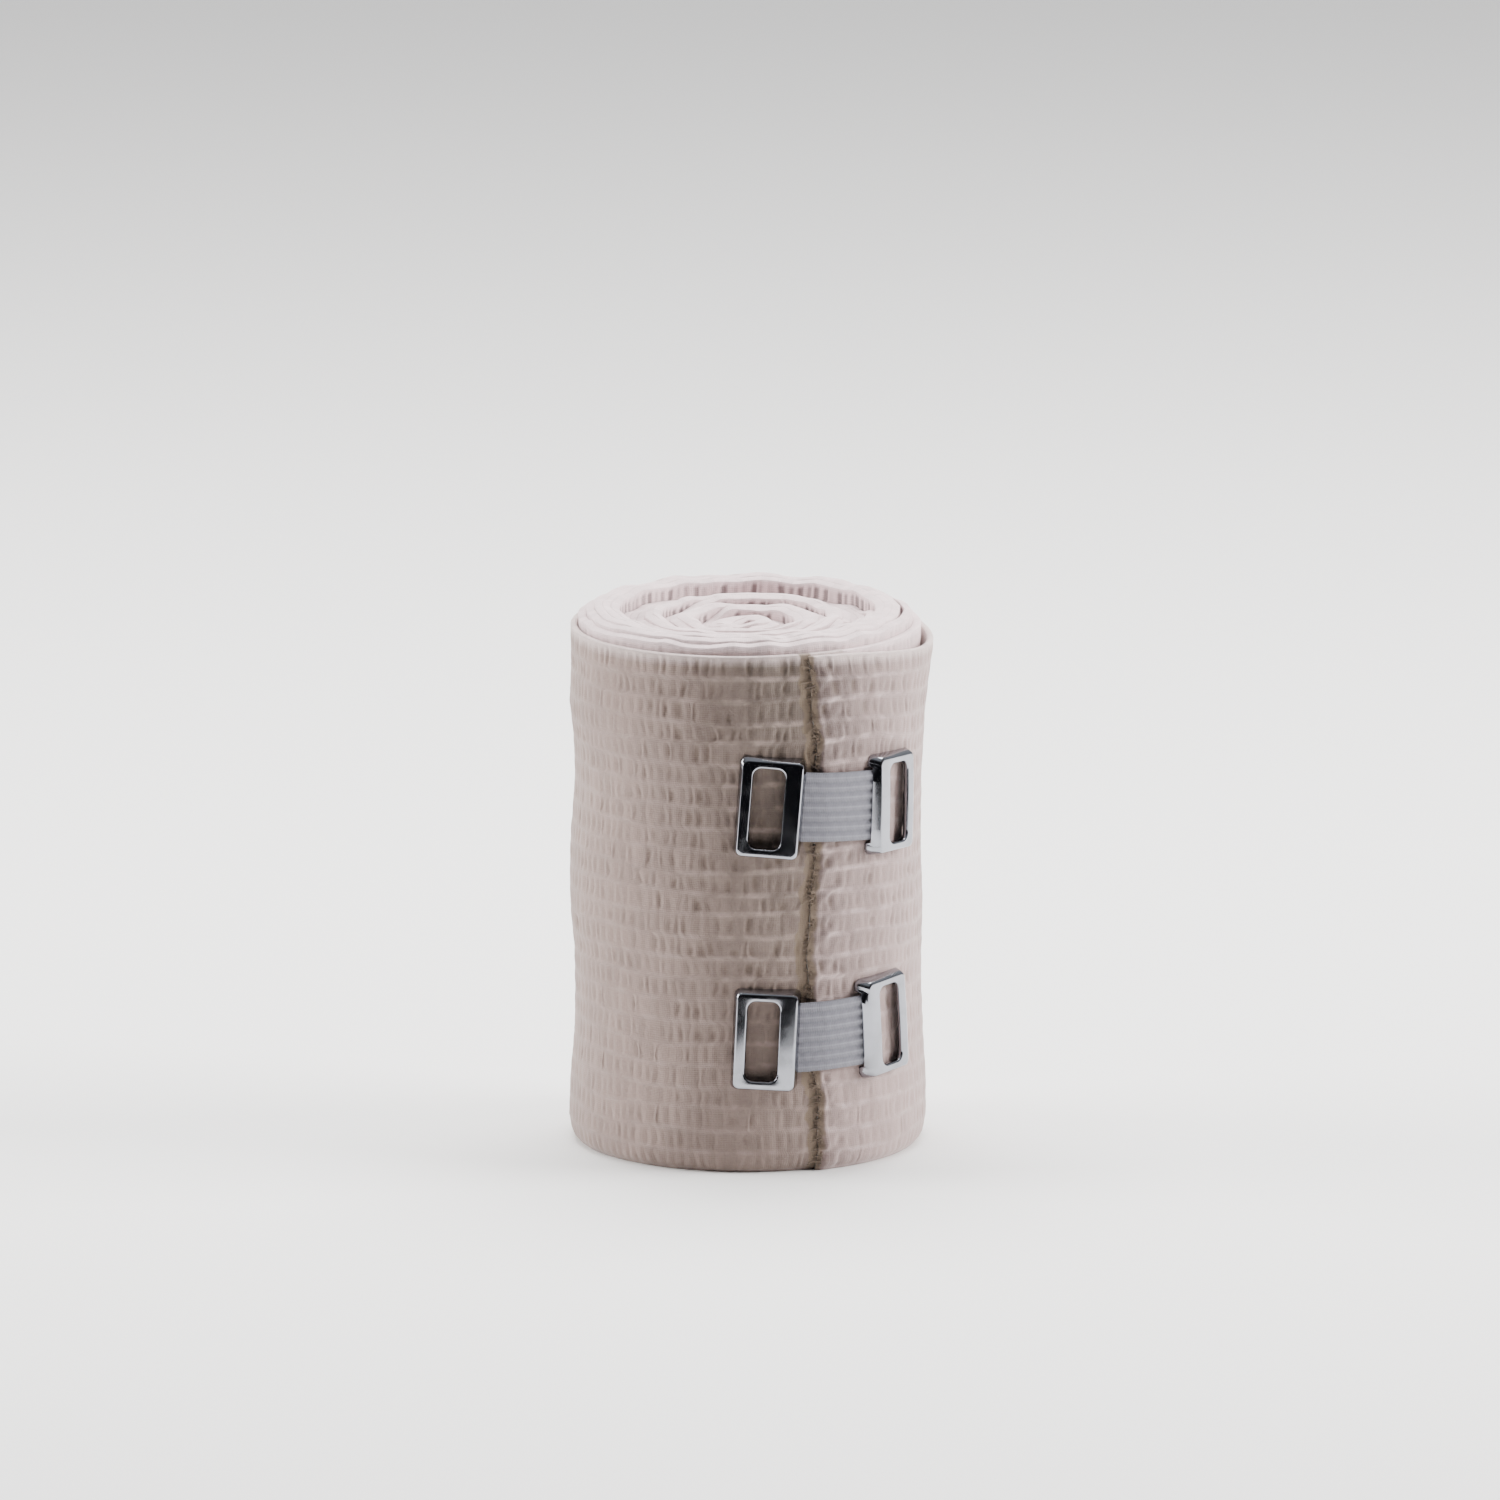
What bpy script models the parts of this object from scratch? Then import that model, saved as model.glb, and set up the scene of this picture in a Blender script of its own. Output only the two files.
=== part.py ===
"""A crepe elastic bandage, wound up, standing on end and held by two stretch clips.

The roll's axis is +Z through the origin, and its flat underside lies at z = 0.
The bandage's free edge is at the front, which faces -Y, and the clips cross it.

Angles round the roll are in degrees, counted from the front towards +X.
A winding angle counts the same way, but from the free edge of the bandage:
0 is the free edge, and one turn further in is 360.
"""

import math

import bmesh
import bpy
from mathutils import Vector

MM = 0.001

# Driving sizes, in millimetres and degrees
BANDAGE_WIDTH = 99.6
END_RADIUS = 33.6
CLOTH = 1.2
CLEARANCE = 0.3
TURN_PITCH = CLOTH + CLEARANCE
FREE_EDGE = 22.5
LOOSE_SPAN = 105.0
TURN_STEP = 0.5
ROLL_COLUMNS = 64
LOOSE_COLUMNS = 18

# How far the wall swells between the clips' heights, on the left and on the right
WALL_SWELL = (
    # height, left, right
    (0.0, -0.5, -0.5),
    (1.2, 0.5, 0.5),
    (4.5, 1.1, 1.1),
    (12.0, 0.9, 1.0),
    (20.0, 0.3, 0.4),
    (28.0, 0.1, 0.0),
    (37.0, 0.2, 0.0),
    (44.0, 0.8, 0.3),
    (50.0, 0.9, 0.3),
    (57.0, 0.8, 0.1),
    (64.0, 0.3, 0.1),
    (71.0, 0.0, 0.1),
    (78.0, 0.3, 0.4),
    (85.0, 1.1, 0.7),
    (92.0, 0.8, 0.5),
)

# The dished top, from the core hole out to the rim: rings at their radius and height
TOP_RINGS = (
    # radius, height
    (30.4, 102.2),
    (28.2, 103.1),
    (25.6, 103.6),
    (23.4, 103.3),
    (22.0, 102.6),
    (20.8, 101.0),
    (19.6, 100.4),
    (17.0, 100.8),
    (14.8, 101.7),
    (13.2, 101.4),
    (12.2, 100.3),
    (10.2, 100.3),
    (8.2, 101.0),
    (6.8, 100.6),
    (6.0, 99.5),
    (4.0, 100.0),
    (1.9, 100.3),
    (1.0, 99.9),
)
CORE_HOLE_RADIUS = 0.8
CORE_HOLE_LEVELS = (97.0, 93.0)
TOP_LEAN = 0.45

# The outermost turn's edge is lower than the rim: how far in and how far up, from the wall's top
OUTER_LIP = (
    # inset, rise
    (0.0, 2.2),
    (0.4, 2.7),
    (1.1, 2.7),
    (1.35, 4.2),
    (1.9, 4.7),
)
WALL_TOP = BANDAGE_WIDTH - 2.6

# The loose end stands off the roll at its top right, and its lower corner touches the floor
FLARE_HEIGHT = 82.0
FLARE_OUT = 1.5
FLARE_CENTRE = 62.0
FLARE_WIDTH = 38.0
TOP_SAG = 2.6
SAG_CENTRE = 58.0
SAG_WIDTH = 52.0
SAG_HEIGHT = 88.0
LOOSE_FLOOR_GAP = 0.25
CORNER_CENTRE = 12.0
CORNER_WIDTH = 14.0
HEM_HEIGHT = 12.0
LOOSE_TOP_RINGS = (BANDAGE_WIDTH - 2.4, BANDAGE_WIDTH)

# Degrees before the free edge where the cloth still counts as the loose end's, for a hook's foot
EDGE_REACH = 12.0
EDGE_MARGIN = 0.8

# Hook frames of the clips
HOOK_WIDTH = 12.6
HOOK_HEIGHT = 19.4
HOOK_CORNER = 1.3
WINDOW_WIDTH = 6.2
WINDOW_HEIGHT = 15.2
WINDOW_CORNER = 1.6
OUTER_BAR = 2.6
FLANGE_SLOPE = 0.8
SHEET_METAL = 0.5
WINDOW_LIP = 1.0
NOTCH_MARGIN = 0.5
NOTCH_STEP = 0.6
NOTCH_REACH = 0.1
FLANGE_ZONE = 1.5
LIP_TAPER = 0.3
FOOT_START = 2.0
FOOT_ROUNDS = 6

# Elastic bands of the clips
BAND_HEIGHT = 13.4
BAND_THICK = 0.7
BAND_RIBS = 7
RIB_RISE = 0.3
BAND_TUCK = 2.2
BAND_COLUMNS = 9
BAND_LEAN_ANGLE = 26.0
BAND_FALL = 0.06
RIB_STATIONS = (
    # share of a rib's width, height above the band
    (0.06, 0.0),
    (0.32, RIB_RISE),
    (0.68, RIB_RISE),
    (0.94, 0.0),
)
CREST_WINDINGS = (4.0, 12.0, 20.0, 28.0)
CREST_OFFSETS = (-7.0, 0.0, 7.0)

CLIPS = {
    # name: hooks as (side, angle, height, face radius, yaw, turn), band end heights left and right
    "upper": {
        "hooks": (
            ("left", 7.4, 71.0, 35.1, 8.0, 4.5),
            ("right", 53.2, 69.6, 35.8, -4.0, 2.5),
        ),
        "band": (71.2, 69.8),
    },
    "lower": {
        "hooks": (
            ("left", 6.0, 26.0, 35.1, 8.0, 2.6),
            ("right", 49.4, 26.9, 35.8, -4.0, -2.6),
        ),
        "band": (26.3, 26.7),
    },
}

MATERIALS = {
    # name: base colour, roughness, metallic
    "crepe_cloth": ((0.52, 0.45, 0.41), 0.9, 0.0),
    "loose_cloth": ((0.58, 0.51, 0.48), 0.9, 0.0),
    "hook_metal": ((0.62, 0.62, 0.64), 0.22, 1.0),
    "band_elastic": ((0.50, 0.51, 0.55), 0.8, 0.0),
}


def clear_scene():
    """Remove whatever the file holds."""
    for thing in list(bpy.data.objects):
        bpy.data.objects.remove(thing, do_unlink=True)


def material(name):
    """A Principled material in one of the part's own colours."""
    made = bpy.data.materials.get(name)
    if made:
        return made
    made = bpy.data.materials.new(name)
    made.use_nodes = True
    shader = made.node_tree.nodes["Principled BSDF"]
    colour, roughness, metallic = MATERIALS[name]
    shader.inputs["Base Color"].default_value = (*colour, 1.0)
    shader.inputs["Roughness"].default_value = roughness
    shader.inputs["Metallic"].default_value = metallic
    made.diffuse_color = (*colour, 1.0)
    return made


def smooth(value):
    """0 below 0, 1 above 1, and a soft step between them."""
    held = min(max(value, 0.0), 1.0)
    return held * held * (3.0 - 2.0 * held)


def read_table(table, key, column):
    """The value of one column at key, by straight lines between the rows."""
    for low, high in zip(table, table[1:]):
        if key <= high[0]:
            share = max(key - low[0], 0.0) / (high[0] - low[0])
            return low[column] + share * (high[column] - low[column])
    return table[-1][column]


def polar(angle, radius, height):
    """The point at an angle round the roll, a radius and a height, in metres."""
    turn = math.radians(angle)
    return Vector((radius * math.sin(turn), -radius * math.cos(turn), height)) * MM


def swell(angle, height):
    """How far the wall bulges at a place, between its left and right profiles."""
    rightness = 0.5 + 0.5 * math.sin(math.radians(angle))
    left = read_table(WALL_SWELL, height, 1)
    right = read_table(WALL_SWELL, height, 2)
    ripple = 0.12 * math.sin(math.radians(3.0 * angle) + 0.11 * height)
    return left + rightness * (right - left) + ripple


def wound_radius(winding, height):
    """Outer radius of the layer at a winding angle: it shrinks by a pitch each turn."""
    return END_RADIUS - TURN_PITCH * winding / 360.0 + swell(FREE_EDGE + winding, height)


def roll_radius(angle, height):
    """Outer radius of the roll itself, which lies one turn in under the loose end."""
    winding = (angle - FREE_EDGE) % 360.0
    if winding < LOOSE_SPAN:
        winding += 360.0
    return wound_radius(winding, height)


def flare(winding, height):
    """How far the loose end stands off the roll near its top right."""
    up = smooth((height - FLARE_HEIGHT) / (BANDAGE_WIDTH - FLARE_HEIGHT))
    across = smooth(1.0 - abs(winding - FLARE_CENTRE) / FLARE_WIDTH)
    return FLARE_OUT * up * across


def loose_radius(winding, height):
    """Outer radius of the loose end."""
    return wound_radius(winding, height) + flare(winding, height)


def cloth_radius(angle, height):
    """Outer radius of whatever cloth lies on the outside at a place."""
    winding = (angle - FREE_EDGE + EDGE_REACH) % 360.0 - EDGE_REACH
    if free_edge_offset(height) - EDGE_MARGIN < winding < LOOSE_SPAN:
        return loose_radius(winding, height)
    return roll_radius(angle, height)


def free_edge_offset(height):
    """The free edge isn't straight: how many degrees it wanders at a height."""
    return 1.5 * math.sin(0.095 * height + 0.9) + 0.35 * math.sin(0.55 * height)


def make_object(name, points, faces, material_name):
    """One closed mesh object, facing out, smooth where its faces meet gently."""
    mesh = bpy.data.meshes.new(name)
    body = bmesh.new()
    corners = [body.verts.new(point) for point in points]
    for face in faces:
        body.faces.new([corners[index] for index in face])
    bmesh.ops.recalc_face_normals(body, faces=body.faces)
    bmesh.ops.triangulate(body, faces=body.faces)
    body.to_mesh(mesh)
    body.free()
    mesh.shade_smooth()
    mesh.set_sharp_from_angle(angle=math.radians(40.0))
    made = bpy.data.objects.new(name, mesh)
    made.data.materials.append(material(material_name))
    bpy.context.scene.collection.objects.link(made)
    return made


def ring_faces(rings, columns, closed):
    """Quads between neighbouring rings of equal length; closed joins last to first."""
    faces = []
    for ring in range(rings if closed else rings - 1):
        above = (ring + 1) % rings
        for column in range(columns):
            beside = (column + 1) % columns
            faces.append(
                (
                    ring * columns + column,
                    ring * columns + beside,
                    above * columns + beside,
                    above * columns + column,
                )
            )
    return faces


def build_roll():
    """The wound roll: a ring of points at each level, from the floor to the core hole."""
    span = 360.0 - TURN_STEP
    windings = [LOOSE_SPAN + span * column / (ROLL_COLUMNS - 1) for column in range(ROLL_COLUMNS)]
    rings = []
    for height, _, _ in WALL_SWELL:
        rings.append([(w, wound_radius(w, height), height) for w in windings])
    rings.extend(outer_lip(windings))
    for radius, height in TOP_RINGS:
        rings.append([top_point(w, radius, height) for w in windings])
    for height in CORE_HOLE_LEVELS:
        rings.append([(w, CORE_HOLE_RADIUS, height) for w in windings])
    points = [polar(FREE_EDGE + w, r, z) for ring in rings for w, r, z in ring]
    faces = ring_faces(len(rings), ROLL_COLUMNS, closed=False)
    faces.append(tuple(range(ROLL_COLUMNS)))
    last = (len(rings) - 1) * ROLL_COLUMNS
    faces.append(tuple(range(last, last + ROLL_COLUMNS)))
    return make_object("roll", points, faces, "crepe_cloth")


def outer_lip(windings):
    """The outermost turn's edge, lower than the rim, and the step up to the next turn."""
    lip = []
    for inset, rise in OUTER_LIP:
        ring = []
        for winding in windings:
            wave = 0.25 * math.sin(math.radians(4.0 * winding) + 0.6)
            radius = wound_radius(winding, WALL_TOP) - inset
            ring.append((winding, radius, WALL_TOP + rise + wave))
        lip.append(ring)
    return lip


def top_point(winding, radius, height):
    """A point of the dished top: rings a little off round, and higher at the back."""
    turn = math.radians(winding + FREE_EDGE)
    share = radius / END_RADIUS
    off_round = 1.0 + 0.03 * math.sin(2.0 * turn + 0.35 * radius) * (1.0 - share)
    lean = -TOP_LEAN * share * math.cos(turn)
    wave = 0.12 * math.sin(5.0 * turn + radius)
    return (winding, radius * off_round, height + lean + wave)


def build_loose_end():
    """The free end of the bandage, a sheet from its wandering edge to its root."""
    heights = [row[0] for row in WALL_SWELL] + list(LOOSE_TOP_RINGS)
    root_gap = math.degrees((CLEARANCE + 0.05) / END_RADIUS)
    points = []
    for column in range(LOOSE_COLUMNS):
        share = column / (LOOSE_COLUMNS - 1)
        outer = []
        inner = []
        for height in heights:
            start = free_edge_offset(height)
            winding = start + share * (LOOSE_SPAN - root_gap - start)
            lifted = loose_height(winding, height)
            radius = wound_radius(winding, lifted) + flare(winding, height)
            outer.append(polar(FREE_EDGE + winding, radius, lifted))
            inner.append(polar(FREE_EDGE + winding, radius - CLOTH, lifted))
        points.extend(outer + inner[::-1])
    around = 2 * len(heights)
    faces = ring_faces(LOOSE_COLUMNS, around, closed=False)
    for first in (0, (LOOSE_COLUMNS - 1) * around):
        for level in range(len(heights) - 1):
            across = around - 1 - level
            faces.append((first + level, first + level + 1, first + across - 1, first + across))
    return make_object("loose_end", points, faces, "loose_cloth")


def loose_height(winding, height):
    """The height a point of the loose end really has, with its sagging top and its hem."""
    top_share = smooth((height - SAG_HEIGHT) / (BANDAGE_WIDTH - SAG_HEIGHT))
    sag = TOP_SAG * smooth(1.0 - abs(winding - SAG_CENTRE) / SAG_WIDTH) * top_share
    corner = smooth(1.0 - abs(winding - CORNER_CENTRE) / CORNER_WIDTH)
    hem = LOOSE_FLOOR_GAP * (1.0 - corner) * (1.0 - smooth(height / HEM_HEIGHT))
    return height - sag + hem


def hook_axes(angle, yaw, turn):
    """Right, up and outward directions of a hook that lies on the wall at an angle."""
    facing = math.radians(angle - yaw)
    outward = Vector((math.sin(facing), -math.cos(facing), 0.0))
    along = Vector((math.cos(facing), math.sin(facing), 0.0))
    upward = Vector((0.0, 0.0, 1.0))
    lean = math.radians(turn)
    right = along * math.cos(lean) - upward * math.sin(lean)
    up = upward * math.cos(lean) + along * math.sin(lean)
    return right, up, outward


def frame_path(width, height, corner, centre_u, extra_heights):
    """Stations round a rectangle with round corners, counter-clockwise from lower right."""
    half_u = width / 2.0
    half_v = height / 2.0
    path = [(half_u, v) for v in extra_heights]
    for quarter, (sign_u, sign_v) in enumerate(((1, 1), (-1, 1), (-1, -1), (1, -1))):
        for step in (0.0, 0.5, 1.0):
            bend = math.radians(90.0 * (quarter + step))
            u = sign_u * (half_u - corner) + corner * math.cos(bend)
            v = sign_v * (half_v - corner) + corner * math.sin(bend)
            path.append((u, v))
        if quarter == 1:
            path.extend((-half_u, -v) for v in extra_heights)
        if quarter in (0, 2):
            path.append((0.0, sign_v * half_v))
    return [(u + centre_u, v) for u, v in path]


def build_hook(clip, side, angle, height, face_radius, yaw, turn, band):
    """A stamped hook frame: a flat face round a window, with its edges turned down."""
    right, up, outward = hook_axes(angle, yaw, turn)
    centre = polar(angle, face_radius, height)
    inner_side = 1.0 if side == "left" else -1.0
    notch = BAND_HEIGHT / 2.0 + NOTCH_MARGIN
    levels = (-notch - NOTCH_STEP, -notch, 0.0, notch, notch + NOTCH_STEP)
    window_shift = -inner_side * (HOOK_WIDTH / 2.0 - OUTER_BAR - WINDOW_WIDTH / 2.0)
    outer = frame_path(HOOK_WIDTH, HOOK_HEIGHT, HOOK_CORNER, 0.0, levels)
    face = frame_path(
        HOOK_WIDTH - 2.0 * FLANGE_SLOPE,
        HOOK_HEIGHT - 2.0 * FLANGE_SLOPE,
        HOOK_CORNER,
        0.0,
        levels,
    )
    window = frame_path(
        WINDOW_WIDTH,
        WINDOW_HEIGHT,
        WINDOW_CORNER,
        window_shift,
        [v * (WINDOW_HEIGHT / 2.0 - WINDOW_CORNER - 0.4) / levels[-1] for v in levels],
    )

    def place(u, v, depth):
        """The point at u to the right, v up and a depth behind the hook's face."""
        return centre + (right * u + up * v - outward * depth) * MM

    def foot_depth(u, v):
        """How far the edge turns down to stop just above the cloth, or above the band."""
        on_inner_bar = u * inner_side > HOOK_WIDTH / 2.0 - NOTCH_STEP
        over_band = on_inner_bar and abs(v) < notch + NOTCH_REACH
        depth = FOOT_START
        for _ in range(FOOT_ROUNDS):
            point = place(u, v, depth) / MM
            radius = math.hypot(point.x, point.y)
            place_angle = math.degrees(math.atan2(point.x, -point.y))
            if over_band:
                floor = band_radius(place_angle, band) + BAND_THICK + RIB_RISE
            else:
                floor = cloth_radius(place_angle, point.z)
            depth += radius - floor - CLEARANCE
        return depth

    points = []
    for (ou, ov), (fu, fv), (wu, wv) in zip(outer, face, window):
        foot = foot_depth(ou, ov)
        at_side = abs(fu) > HOOK_WIDTH / 2.0 - FLANGE_ZONE
        at_end = abs(fv) > HOOK_HEIGHT / 2.0 - FLANGE_ZONE
        inward_u = math.copysign(SHEET_METAL, ou) if at_side else 0.0
        inward_v = math.copysign(SHEET_METAL, ov) if at_end else 0.0
        away_u = (wu - window_shift) / WINDOW_WIDTH * 2.0 * SHEET_METAL
        away_v = wv / WINDOW_HEIGHT * 2.0 * SHEET_METAL
        points.extend(
            (
                place(ou, ov, foot),
                place(fu, fv, 0.0),
                place(wu, wv, 0.0),
                place(wu - LIP_TAPER * away_u, wv - LIP_TAPER * away_v, WINDOW_LIP),
                place(wu + (1.0 - LIP_TAPER) * away_u, wv + (1.0 - LIP_TAPER) * away_v, WINDOW_LIP),
                place(wu + away_u, wv + away_v, SHEET_METAL),
                place(fu - inward_u, fv - inward_v, SHEET_METAL),
                place(ou - inward_u, ov - inward_v, foot),
            )
        )
    faces = ring_faces(len(outer), 8, closed=True)
    return make_object(f"hook_{clip}_{side}", points, faces, "hook_metal")


def band_radius(angle, band):
    """Inner radius of a clip's band: clear of the loose end, then straight to the left hook."""
    crest = max(
        loose_radius(winding, band["middle"] + offset)
        for winding in CREST_WINDINGS
        for offset in CREST_OFFSETS
    )
    return crest + CLEARANCE - BAND_FALL * max(BAND_LEAN_ANGLE - angle, 0.0)


def build_band(clip, band):
    """A clip's elastic band: a strip round the wall with ribs along it."""
    half = BAND_HEIGHT / 2.0
    rib = BAND_HEIGHT / BAND_RIBS
    section = [(half, 0.0), (-half, 0.0)]
    for index in range(BAND_RIBS):
        low = -half + index * rib
        section.extend((low + share * rib, BAND_THICK + rise) for share, rise in RIB_STATIONS)
    points = []
    for column in range(BAND_COLUMNS):
        share = column / (BAND_COLUMNS - 1)
        angle = band["start"] + share * (band["end"] - band["start"])
        middle = band["left_height"] + share * (band["right_height"] - band["left_height"])
        inner = band_radius(angle, band)
        points.extend(polar(angle, inner + depth, middle + v) for v, depth in section)
    faces = ring_faces(BAND_COLUMNS, len(section), closed=False)
    last = (BAND_COLUMNS - 1) * len(section)
    faces.append(tuple(range(len(section))))
    faces.append(tuple(range(last, last + len(section))))
    return make_object(f"band_{clip}", points, faces, "band_elastic")


def band_layout(hooks, end_heights):
    """Where a band starts and ends: tucked under the inner bars of its two hooks."""
    tuck = math.degrees((HOOK_WIDTH / 2.0 - BAND_TUCK) / hooks[0][3])
    return {
        "start": hooks[0][1] + tuck,
        "end": hooks[1][1] - tuck,
        "left_height": end_heights[0],
        "right_height": end_heights[1],
        "middle": (end_heights[0] + end_heights[1]) / 2.0,
    }


def build_clip(clip, layout):
    """One stretch clip: its band and a hook frame over each end of it."""
    band = band_layout(layout["hooks"], layout["band"])
    build_band(clip, band)
    for side, angle, height, face_radius, yaw, turn in layout["hooks"]:
        build_hook(clip, side, angle, height, face_radius, yaw, turn, band)


def main():
    """Build every piece where it lies."""
    clear_scene()
    build_roll()
    build_loose_end()
    for clip, layout in CLIPS.items():
        build_clip(clip, layout)


main()
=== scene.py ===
# %% [markdown]
# A crepe elastic bandage, wound up and clipped
#
# The real thing is one strip of cotton and rubber crepe, 10 cm wide, wound round itself about
# twenty-two times and stood on its end. Two stretch clips cross the free edge and hold it.
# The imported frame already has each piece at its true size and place, as plain solids. This
# script dresses them: the cloth becomes a wound sheet whose weave is real relief, and the
# clips become thin stamped metal and ribbed elastic.

import math
from functools import partial

import bpy
import numpy as np
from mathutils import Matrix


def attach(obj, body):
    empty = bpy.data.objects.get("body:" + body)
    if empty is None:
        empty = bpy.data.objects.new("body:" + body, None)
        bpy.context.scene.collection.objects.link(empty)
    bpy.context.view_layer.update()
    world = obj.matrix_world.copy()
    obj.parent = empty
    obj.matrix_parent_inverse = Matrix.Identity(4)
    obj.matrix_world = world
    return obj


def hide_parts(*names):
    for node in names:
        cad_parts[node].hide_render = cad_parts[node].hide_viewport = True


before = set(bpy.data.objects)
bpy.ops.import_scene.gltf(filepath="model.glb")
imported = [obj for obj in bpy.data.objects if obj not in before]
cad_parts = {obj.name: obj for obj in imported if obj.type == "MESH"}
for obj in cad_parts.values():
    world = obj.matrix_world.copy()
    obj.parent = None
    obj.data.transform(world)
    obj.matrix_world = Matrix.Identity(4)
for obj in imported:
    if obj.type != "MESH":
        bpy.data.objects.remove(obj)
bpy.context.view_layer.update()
MM = 0.001

# %% [markdown]
# The winding
#
# A wound strip is a spiral: its radius shrinks by one pitch each turn. Angles are in degrees
# from the front (-Y) towards +X, and a winding angle is counted from the free edge, so that
# 360 is one turn further in. Working with the winding angle means that one formula places
# every point of the cloth, from the free edge to the core.

# %% Sizes of the winding, as in the solids
BANDAGE_WIDTH = 99.6
END_RADIUS = 33.6
CLOTH = 1.2
CLEARANCE = 0.3
TURN_PITCH = CLOTH + CLEARANCE
FREE_EDGE = 22.5
LOOSE_SPAN = 105.0
TUCKED_UNDER = 374.0
CORE_RADIUS = 0.9
SHRINK = TURN_PITCH / 360.0
RIPPLE = 0.12
RIPPLE_ROUND = 3.0
RIPPLE_UP = 0.11
NEAR_WALL_FROM = 14.0
NEAR_WALL_SPAN = 17.0

WALL_SWELL = np.array([
    # height, left, right
    (0.0, -0.5, -0.5),
    (1.2, 0.5, 0.5),
    (4.5, 1.1, 1.1),
    (12.0, 0.9, 1.0),
    (20.0, 0.3, 0.4),
    (28.0, 0.1, 0.0),
    (37.0, 0.2, 0.0),
    (44.0, 0.8, 0.3),
    (50.0, 0.9, 0.3),
    (57.0, 0.8, 0.1),
    (64.0, 0.3, 0.1),
    (71.0, 0.0, 0.1),
    (78.0, 0.3, 0.4),
    (85.0, 1.1, 0.7),
    (92.0, 0.8, 0.5),
])


def smooth(value):
    """0 below 0, 1 above 1 and 3t^2 - 2t^3 between, on whole arrays."""
    held = np.clip(value, 0.0, 1.0)
    return held * held * (3.0 - 2.0 * held)


def eased(value, start, span):
    """0 up to the start, 1 from a span later, and smooth between."""
    return smooth((value - start) / span)


def arc_to_winding(arc):
    """Winding angle at a length of cloth from the free edge.

    The length is the sum of radius times angle, so arc = rad(R w - k w^2 / 2),
    and w is the smaller root of that quadratic.
    """
    inside = np.maximum(END_RADIUS**2 - 2.0 * SHRINK * np.degrees(arc), 0.0)
    return (END_RADIUS - np.sqrt(inside)) / SHRINK


def winding_to_arc(winding):
    """Length of cloth from the free edge to a winding angle: rad(R w - k w^2 / 2)."""
    return np.radians(END_RADIUS * winding - SHRINK * winding**2 / 2.0)


def swell(angle, height):
    """How far the wall bulges: the left and right profiles, blended by sin(angle)."""
    rightness = 0.5 + 0.5 * np.sin(np.radians(angle))
    left = np.interp(height, WALL_SWELL[:, 0], WALL_SWELL[:, 1])
    right = np.interp(height, WALL_SWELL[:, 0], WALL_SWELL[:, 2])
    ripple = RIPPLE * np.sin(np.radians(RIPPLE_ROUND * angle) + RIPPLE_UP * height)
    return left + rightness * (right - left) + ripple


print("cloth wound up, mm:", round(float(winding_to_arc((END_RADIUS - CORE_RADIUS) / SHRINK))))

# %% [markdown]
# Where the winding loosens
#
# The two outermost layers gape at the top right, and the free edge wanders from a straight
# line. Both are soft bumps in the winding angle, so they fade out with no crease.

# %% Loosened turns and the free edge's line
FLARES = (
    # centre, half width, outward, height where it starts
    (62.0, 38.0, 1.9, 82.0),
    (430.0, 28.0, 1.0, 88.0),
    (790.0, 27.0, 0.95, 88.0),
)
EDGE_WAVES = (
    # degrees, radians for each millimetre of height, start
    (1.5, 0.095, 0.9),
    (0.35, 0.55, 0.0),
)


def flare(winding, height):
    """Sum of soft bumps: outward times smooth(height share) times smooth(1 - |w - c| / half)."""
    out = np.zeros(np.broadcast(winding, height).shape)
    for centre, half, outward, start in FLARES:
        up = eased(height, start, BANDAGE_WIDTH - start)
        out = out + outward * up * smooth(1.0 - np.abs(winding - centre) / half)
    return out


def free_edge_offset(height):
    """Degrees that the free edge wanders at a height: a sum of sines of the height."""
    return sum(size * np.sin(rate * height + start) for size, rate, start in EDGE_WAVES)


def wall_radius(winding, height):
    """Outer radius of a layer: the spiral, plus the swell where the layer is near the wall."""
    near_wall = eased(END_RADIUS - SHRINK * winding, NEAR_WALL_FROM, NEAR_WALL_SPAN)
    bulge = swell(FREE_EDGE + winding, height) * near_wall
    return END_RADIUS - SHRINK * winding + bulge + flare(winding, height)


print("free edge wanders, degrees:", np.round(free_edge_offset(np.array([0.0, 50.0, 99.0])), 1))

# %% [markdown]
# The dished top
#
# Winding by hand pushes some turns up and leaves others low, so the top has a raised rim, and
# three short walls that step down towards the core. The height of a layer's upper edge is
# read by its spiral radius. Each drop is narrow, which makes a whole turn stand free above
# its neighbour, with its ribs in view.

# %% Height of each layer's upper edge
TOP_EDGE = np.array([
    # spiral radius, height
    (0.9, 94.5),
    (2.1, 98.6),
    (2.9, 100.4),
    (5.0, 100.2),
    (8.6, 98.8),
    (10.2, 98.6),
    (10.35, 101.0),
    (12.4, 101.1),
    (16.2, 99.6),
    (16.35, 101.9),
    (18.4, 101.7),
    (21.0, 100.3),
    (24.2, 99.9),
    (24.35, 103.0),
    (26.2, 103.4),
    (28.0, 103.2),
    (29.6, 102.6),
    (31.0, 101.7),
    (31.55, 101.3),
    (31.85, 99.9),
    (33.6, 99.7),
])
TOP_LEAN = 0.45
TOP_SAG = 2.6
SAG_CENTRE = 58.0
SAG_HALF = 52.0
DISH_FROM = 400.0
DISH_BLEND = 120.0
LIP_STEP = 0.45
LIP_BLEND = 60.0
DRIFT_HEIGHT = 0.13
DRIFT_DEGREES = 47.0
LUMP_SHARE = 0.008
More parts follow.
